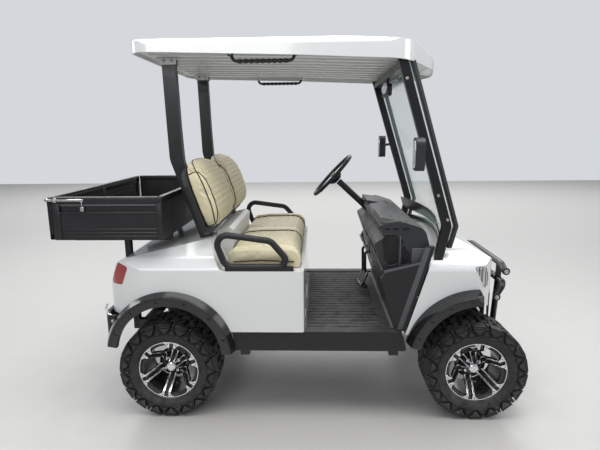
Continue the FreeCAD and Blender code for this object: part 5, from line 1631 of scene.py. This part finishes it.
@dataclass
class Cabin:
    """The dash's pods, vents and pockets, the trim below it, the floor mat and the pedal pads."""

    half: float = 0.533
    dash_x: float = 0.4525
    dash_lean: float = -16.0
    vent_x: float = 0.4625
    vent_z: float = 1.040
    vents_at: tuple[float, ...] = (-0.385, -0.205, 0.020, 0.200)
    wells_at: Point = (-0.370, -0.120, 0.130)
    axle: float = 0.9765
    mat_ribs: int = 24
    mat_pitch: float = 0.0436

    def pods(self) -> None:
        """Two raised pods, and a flat ledge that joins them."""
        form = Form()
        for low, high in ((-0.515, -0.175), (0.150, 0.515)):
            outline = [(low, 1.064), (low + 0.018, 1.104), (high - 0.018, 1.104), (high, 1.064)]
            form.plate(Plane.FRONT, outline, self.dash_x + 0.004, 0.600, 0.009, 0.022,
                       shape=lambda v: Vector((v.x, v.y, v.z - max(0.0, v.x - 0.53) * 0.28)))
        form.plate(Plane.SIDE, [(0.449, 1.050), (0.451, 1.068), (0.470, 1.082), (0.560, 1.092), (0.560, 1.070)],
                   -0.525, 0.525, 0.003)
        form.done("dash_pods", PALETTE.of("dash_grey"))

    def vents(self) -> None:
        """Oval vents, two knobs, a divider and the lips of three wells on the dash's face."""
        form = Form()
        lean = Matrix.Rotation(math.radians(self.dash_lean), 4, "Y")
        for y in self.vents_at:
            vent = Form().plate(Plane.FRONT, ellipse(0, 0, 0.05928, 0.020925, 32), -0.004, 0.006, 0.002)
            # Painted shade: a dark oval plate inside each vent stands for its shaded opening.
            vent.plate(Plane.FRONT, ellipse(0, 0, 0.052, 0.0155, 32), -0.0052, 0.002, 0.0005, 0, 1)
            for z in (-0.0075, 0.0, 0.0075):
                width = 0.050 * math.sqrt(1 - (z / 0.0165) ** 2)
                vent.block((-0.0070, -width, z - 0.0008), (-0.001, width, z + 0.0008), 0.0003, 2)
            form.take(vent.move(Matrix.Translation((self.vent_x, y, self.vent_z)) @ lean).mesh)
        for y in (0.425, 0.468):
            form.rod((0.468, y, 1.022), (0.4545, y, 1.018), 0.0135, 24, 0.0015, 0)
            form.rod((0.456, y, 1.0185), (0.4475, y, 1.016), 0.009, 20, 0.001, 3)
        form.block((0.423, -0.252, 0.862), (0.433, -0.238, 0.955), 0.003, 4)
        for y in self.wells_at:
            form.block((0.414, y - 0.094, 0.850), (0.430, y + 0.094, 0.860), 0.004, 4)
        form.done("dash_vents", PALETTE.of("dash_grey", "groove", "trim_dark", "bolt_zinc", "trim_strip"))

    def trim(self) -> None:
        """Two grey strips on each side below the dash, and one along its lower edge."""
        x, y = self.axle, self.half
        form = Form().plate(Plane.SIDE, [
            (x - 0.4325, 0.510), (x - 0.404, 0.510), (x - 0.270, 0.958), (x - 0.298, 0.962)],
            y + 0.034, y + 0.0400, 0.002, 0.004)
        form.plate(Plane.SIDE, [(x - 0.508, 0.838), (x - 0.505, 0.825), (x - 0.320, 0.872), (x - 0.316, 0.884)],
                   y + 0.034, y + 0.0405, 0.002, 0.003)
        form.mirror().block((0.4655, -y + 0.012, 0.8155), (0.478, y - 0.012, 0.832), 0.004)
        form.done("dash_trim_strips", PALETTE.of("trim_strip"))

    def pockets(self) -> None:
        """On each end of the dash: a pocket with a light divider and a smaller one, whose sunk fields are flat dark
        plates of painted shade, and three vents whose openings are painted shade too.
        """
        y, form = self.half, Form()
        fields = ([(0.462, 0.990), (0.478, 1.024), (0.536, 1.024), (0.550, 0.990), (0.550, 0.866), (0.500, 0.852),
                   (0.474, 0.884)],
                  [(0.562, 1.004), (0.610, 0.912), (0.604, 0.866), (0.562, 0.852)])
        for outline in fields:
            # Painted shade: each pocket's sunk field is a flat dark plate on the dash's face.
            form.plate(Plane.SIDE, outline, y - 0.001, y + 0.0012, 0.0004, 0.012, 1)
            form.tube([(x, y + 0.001, z) for x, z in outline], 0.0028, 0.012, 3, True)
        form.block((0.5525, y - 0.002, 0.846), (0.5595, y + 0.0075, 1.014), 0.002, 2)
        form.plate(Plane.SIDE, [(0.616, 0.832), (0.616, 0.950), (0.7075, 0.950), (0.690, 0.832)], y - 0.002, y + 0.010,
                   0.003, 0.004, 2)
        for x, long in ((0.488, 0.013), (0.531, 0.018), (0.584, 0.023)):
            # Painted shade: each vent's opening is a flat dark oval.
            form.plate(Plane.SIDE, ellipse(x, 1.0515, long, 0.0062, 28), y - 0.001, y + 0.0016, 0.0004, 0, 1)
        form.mirror().done("dash_end_pockets", PALETTE.of("dash_grey", "groove", "trim_strip"))

    def floor(self) -> None:
        """A mat with long raised ribs."""
        form = Form().block((0.064, -0.524, 0.498), (0.470, 0.524, 0.5035), 0.002)
        for place in range(self.mat_ribs):
            y = -0.510 + place * self.mat_pitch
            form.block((0.074, y, 0.502), (0.462, y + 0.020, 0.5065), 0.0012)
        form.done("floor_mat", PALETTE.of("floor_mat"))

    def pedals(self) -> None:
        """Rubber pads with cross ribs in bright frames on the two pedals."""
        x = self.axle - 0.566
        form = Form()
        for shift, low, half in ((0.0, 0.520, 0.055), (-0.150, 0.548, 0.045)):
            y = 0.250 + shift
            way = Vector((0.040, 0, 0.086)).normalized()
            out = Vector((-way.z, 0, way.x))
            foot = Vector((x, y, low))
            for start, end, width, lift, finish in ((0.006, 0.090, half - 0.003, 0.0026, 1),
                                                    (0.012, 0.084, half - 0.010, 0.0044, 0)):
                corners = [foot + way * start, foot + way * end, foot + way * end + out * lift,
                           foot + way * start + out * lift]
                form.plate(Plane.SIDE, [(c.x, c.z) for c in corners], y - width, y + width, 0.0008, 0, finish)
            frame = [foot + way * 0.002, foot + way * 0.096]
            form.tube([(frame[0].x, y - half, frame[0].z), (frame[1].x, y - half, frame[1].z),
                       (frame[1].x, y + half, frame[1].z), (frame[0].x, y + half, frame[0].z)], 0.0030, 0.010, 3,
                      True, 1)
            for step in range(5):
                spot = foot + way * (0.022 + step * 0.013) + out * 0.0045
                form.rod((spot.x, y - half + 0.014, spot.z), (spot.x, y + half - 0.014, spot.z), 0.0022, 8)
        form.done("pedal_pads", PALETTE.of("grip_black", "bolt_zinc"))

    def build(self) -> None:
        """Builds all of the cabin's small pieces."""
        self.pods()
        self.vents()
        self.trim()
        self.pockets()
        self.floor()
        self.pedals()


@dataclass
class SteeringWheel:
    """The steering wheel, modelled flat and then leant to its column."""

    centre: Point = (0.2325, 0.350, 1.253)
    lean: float = -47.0
    rim: float = 0.176
    grip: float = 0.012
    notches: int = 24
    notch: float = 0.0016
    dish: float = 0.020

    def build(self) -> None:
        """A thick rim with finger notches, three spokes, a boss and a cap."""
        form = Form().turn(ellipse(self.rim, 0, self.grip, self.grip, 16), (0, 0, 0), Axis.Z, 96)
        form.wrap(lambda v: v + Vector((v.x, v.y, 0)).normalized()
                  * -self.notch * max(0.0, math.cos(self.notches * math.atan2(v.y, v.x))))
        form.turn([(0.0, -0.052), (0.030, -0.052), (0.052, -0.034), (0.056, -0.020), (0.050, -0.012), (0.0, -0.010)],
                  (0, 0, 0), Axis.Z, 40, finish=1)
        form.rod((0, 0, -0.014), (0, 0, -0.006), 0.034, 40, 0.003, 1)
        for angle in (90, 180, 270):
            spoke = Form().plate(Plane.TOP, [(0.030, -0.022), (0.110, -0.016), (0.170, -0.024), (0.170, 0.024),
                                             (0.110, 0.016), (0.030, 0.022)], -0.028, -0.018, 0.0035, 0.004, 1,
                                 shape=lambda v: Vector((v.x, v.y, v.z + self.dish * (v.x / 0.17) ** 2)))
            spoke.block((0.060, -0.004, -0.0255), (0.140, 0.004, -0.0095), 0.002, 0)
            form.take(spoke.move(Matrix.Rotation(math.radians(angle), 4, "Z")).mesh)
        form.move(Matrix.Translation(self.centre) @ Matrix.Rotation(math.radians(self.lean), 4, "Y"))
        form.done("steering_wheel_grip", PALETTE.of("grip_black", "trim_dark"), "steering_wheel",
                  "trim_dark", ("steering_wheel",))


@dataclass
class Exterior:
    """The outside's small pieces, from the beads on the flares to the bumper's hooks."""

    lip: float = 0.645
    guard_ends: tuple[Point, Point] = ((1.186, 0.349, 0.768), (1.142, 0.353, 0.618))
    rail_y: float = 0.185
    rail_top: float = 0.414
    mounts_at: Point = (0.120, 0.330, 0.520)
    floor_low: float = 0.484
    lines: int = 9
    line_start: float = 0.950
    line_pitch: float = 0.0085
    lamp_low: float = 0.744
    lamp_high: float = 0.852
    nose_low: float = 0.566
    nose_high: float = 0.700

    def flare(self, end: str, centre: tuple[float, float], radius: float, start: float, arc: float,
              bolts: Sequence[float]) -> None:
        """Adds a raised bead and bolt bosses along the wheel flares of one end.

        Args:
            end: front or rear.
            centre: the arch's centre, as x and z.
            radius: the flare's outer radius.
            start: the angle from straight up at which it starts, in degrees.
            arc: how far it goes, in degrees.
            bolts: the angles of the bolts.
        """
        form, y, at = Form(), self.lip, (centre[0], 0.0, centre[1])
        ridge = [(radius - 0.0165, y - 0.002), (radius - 0.0185, y + 0.0022), (radius - 0.0245, y + 0.0026),
                 (radius - 0.0275, y - 0.002)]
        form.turn(ridge, at, Axis.Y, 144, arc - 3, start + 1.5)
        for angle in bolts:
            turn = math.radians(angle)
            reach = radius - 0.0375
            spot = (centre[0] + reach * math.sin(turn), y - 0.0015, centre[1] + reach * math.cos(turn))
            form.rod(spot, (spot[0], y + 0.0025, spot[2]), 0.0115, 20, 0.0012, 0, 0.0095)
            form.bolt((spot[0], y + 0.002, spot[2]), (0, 1, 0), 0.0048, 0.0045, 6, 1)
        form.mirror().done(end + "_flare_beads", PALETTE.of("flare_black", "bolt_black"))

    def guard(self) -> None:
        """End caps with bolts on the brush guard's tubes."""
        form = Form()
        for x, y, z in self.guard_ends:
            form.rod((x, y - 0.006, z), (x, y + 0.006, z), 0.0215, 28, 0.003)
            form.bolt((x, y + 0.005, z), (0, 1, 0), 0.0085, 0.007, 6, 1)
        form.mirror().done("guard_caps", PALETTE.of("frame_black", "bolt_zinc"))

    def nose(self) -> None:
        """A black apron round the nose, a grey tip on each front flare and lines in the headlights, every other one a
        dark line of painted shade.
        """
        plan = [(1.0395, 0.518), (1.1300, 0.2620), (1.1430, 0.0)]
        inner = [(1.0300, 0.512), (1.1220, 0.2560), (1.1360, 0.0)]
        form = Form().plate(Plane.TOP, plan + inner[::-1], self.nose_low, self.nose_high, 0.002)
        form.plate(Plane.SIDE, [(0.928, 0.722), (0.964, 0.730), (0.962, 0.690)], 0.6425, 0.6475, 0.0012, 0.003, 1)
        form.mirror().done("nose_apron", PALETTE.of("trim_dark", "trim_strip"))
        lines = Form()
        for step in range(self.lines):
            x = self.line_start + self.line_pitch * step
            y = 0.5752 - max(0.0, x - 0.9865) * 60 / 52
            low = 0.850 - (x - 0.9400) * 1.94 if x < 0.9965 else self.lamp_low + (x - 0.9965) * 0.75
            high = self.lamp_high - max(0.0, x - 0.9985) * 2.4
            # Painted shade: every other line is dark, between the chrome ones.
            lines.rod((x, y, max(low, self.lamp_low)), (x, y, high), 0.0017, 8, 0, step % 2)
        lines.mirror().done("headlight_lines", PALETTE.of("chrome", "groove"))

    def mounts(self) -> None:
        """Rubber body mounts between the rails and the floor."""
        form, y, low = Form(), self.rail_y, self.rail_top
        for x in self.mounts_at:
            form.rod((x, y, low), (x, y, self.floor_low), 0.021, 24, 0.003)
            form.rod((x, y, low), (x, y, low + 0.008), 0.030, 24, 0.002, 1)
        form.mirror().done("body_mounts", PALETTE.of("grip_black", "axle_steel"))

    def bumper(self) -> None:
        """A chrome hook and two bolts at each of the rear bumper's corners."""
        form = Form().tube([(-0.985, 0.574, 0.592), (-1.002, 0.574, 0.600), (-1.016, 0.566, 0.628),
                            (-1.008, 0.556, 0.652)], 0.0052, 0.012, 4, False, 1)
        for z in (0.475, 0.560):
            form.bolt((-0.978, 0.5790, z), (0, 1, 0), 0.007, 0.006, 6, 2)
        form.mirror().done("bumper_fittings", PALETTE.of("trim_dark", "chrome", "bolt_zinc"))

    def build(self) -> None:
        """Builds all of the outer small pieces."""
        self.flare("rear", (-0.661, 0.388), 0.342, -80, 167, (-66, -38, -10, 18, 46, 72))
        self.flare("front", (0.9665, 0.355), 0.380, -76, 76, (-66, -47, -28, -9))
        self.guard()
        self.nose()
        self.mounts()
        self.bumper()


def dress_nodes() -> None:
    """Gives each CAD node that stays the finish of its material slot."""
    for part in FRAME["record"]["subparts"]:
        node = FRAME["nodes"][part["node"]]
        node.data.materials.clear()
        node.data.materials.append(PALETTE.for_slot(part["material_slot"]))
        log.info("%s: packed solid in %s", part["node"], part["material_slot"])


def main() -> None:
    """Builds the studio and each sub-assembly in order."""
    logging.basicConfig(level=logging.INFO, format="%(message)s")
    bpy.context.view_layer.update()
    dress_nodes()
    for assembly in (Studio(), Wheel(), Seats(), Bed(), Canopy(), Cabin(), SteeringWheel(), Exterior()):
        assembly.build()


if __name__ == "__main__":
    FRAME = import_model()
    PALETTE = Palette(Effects())
    main()
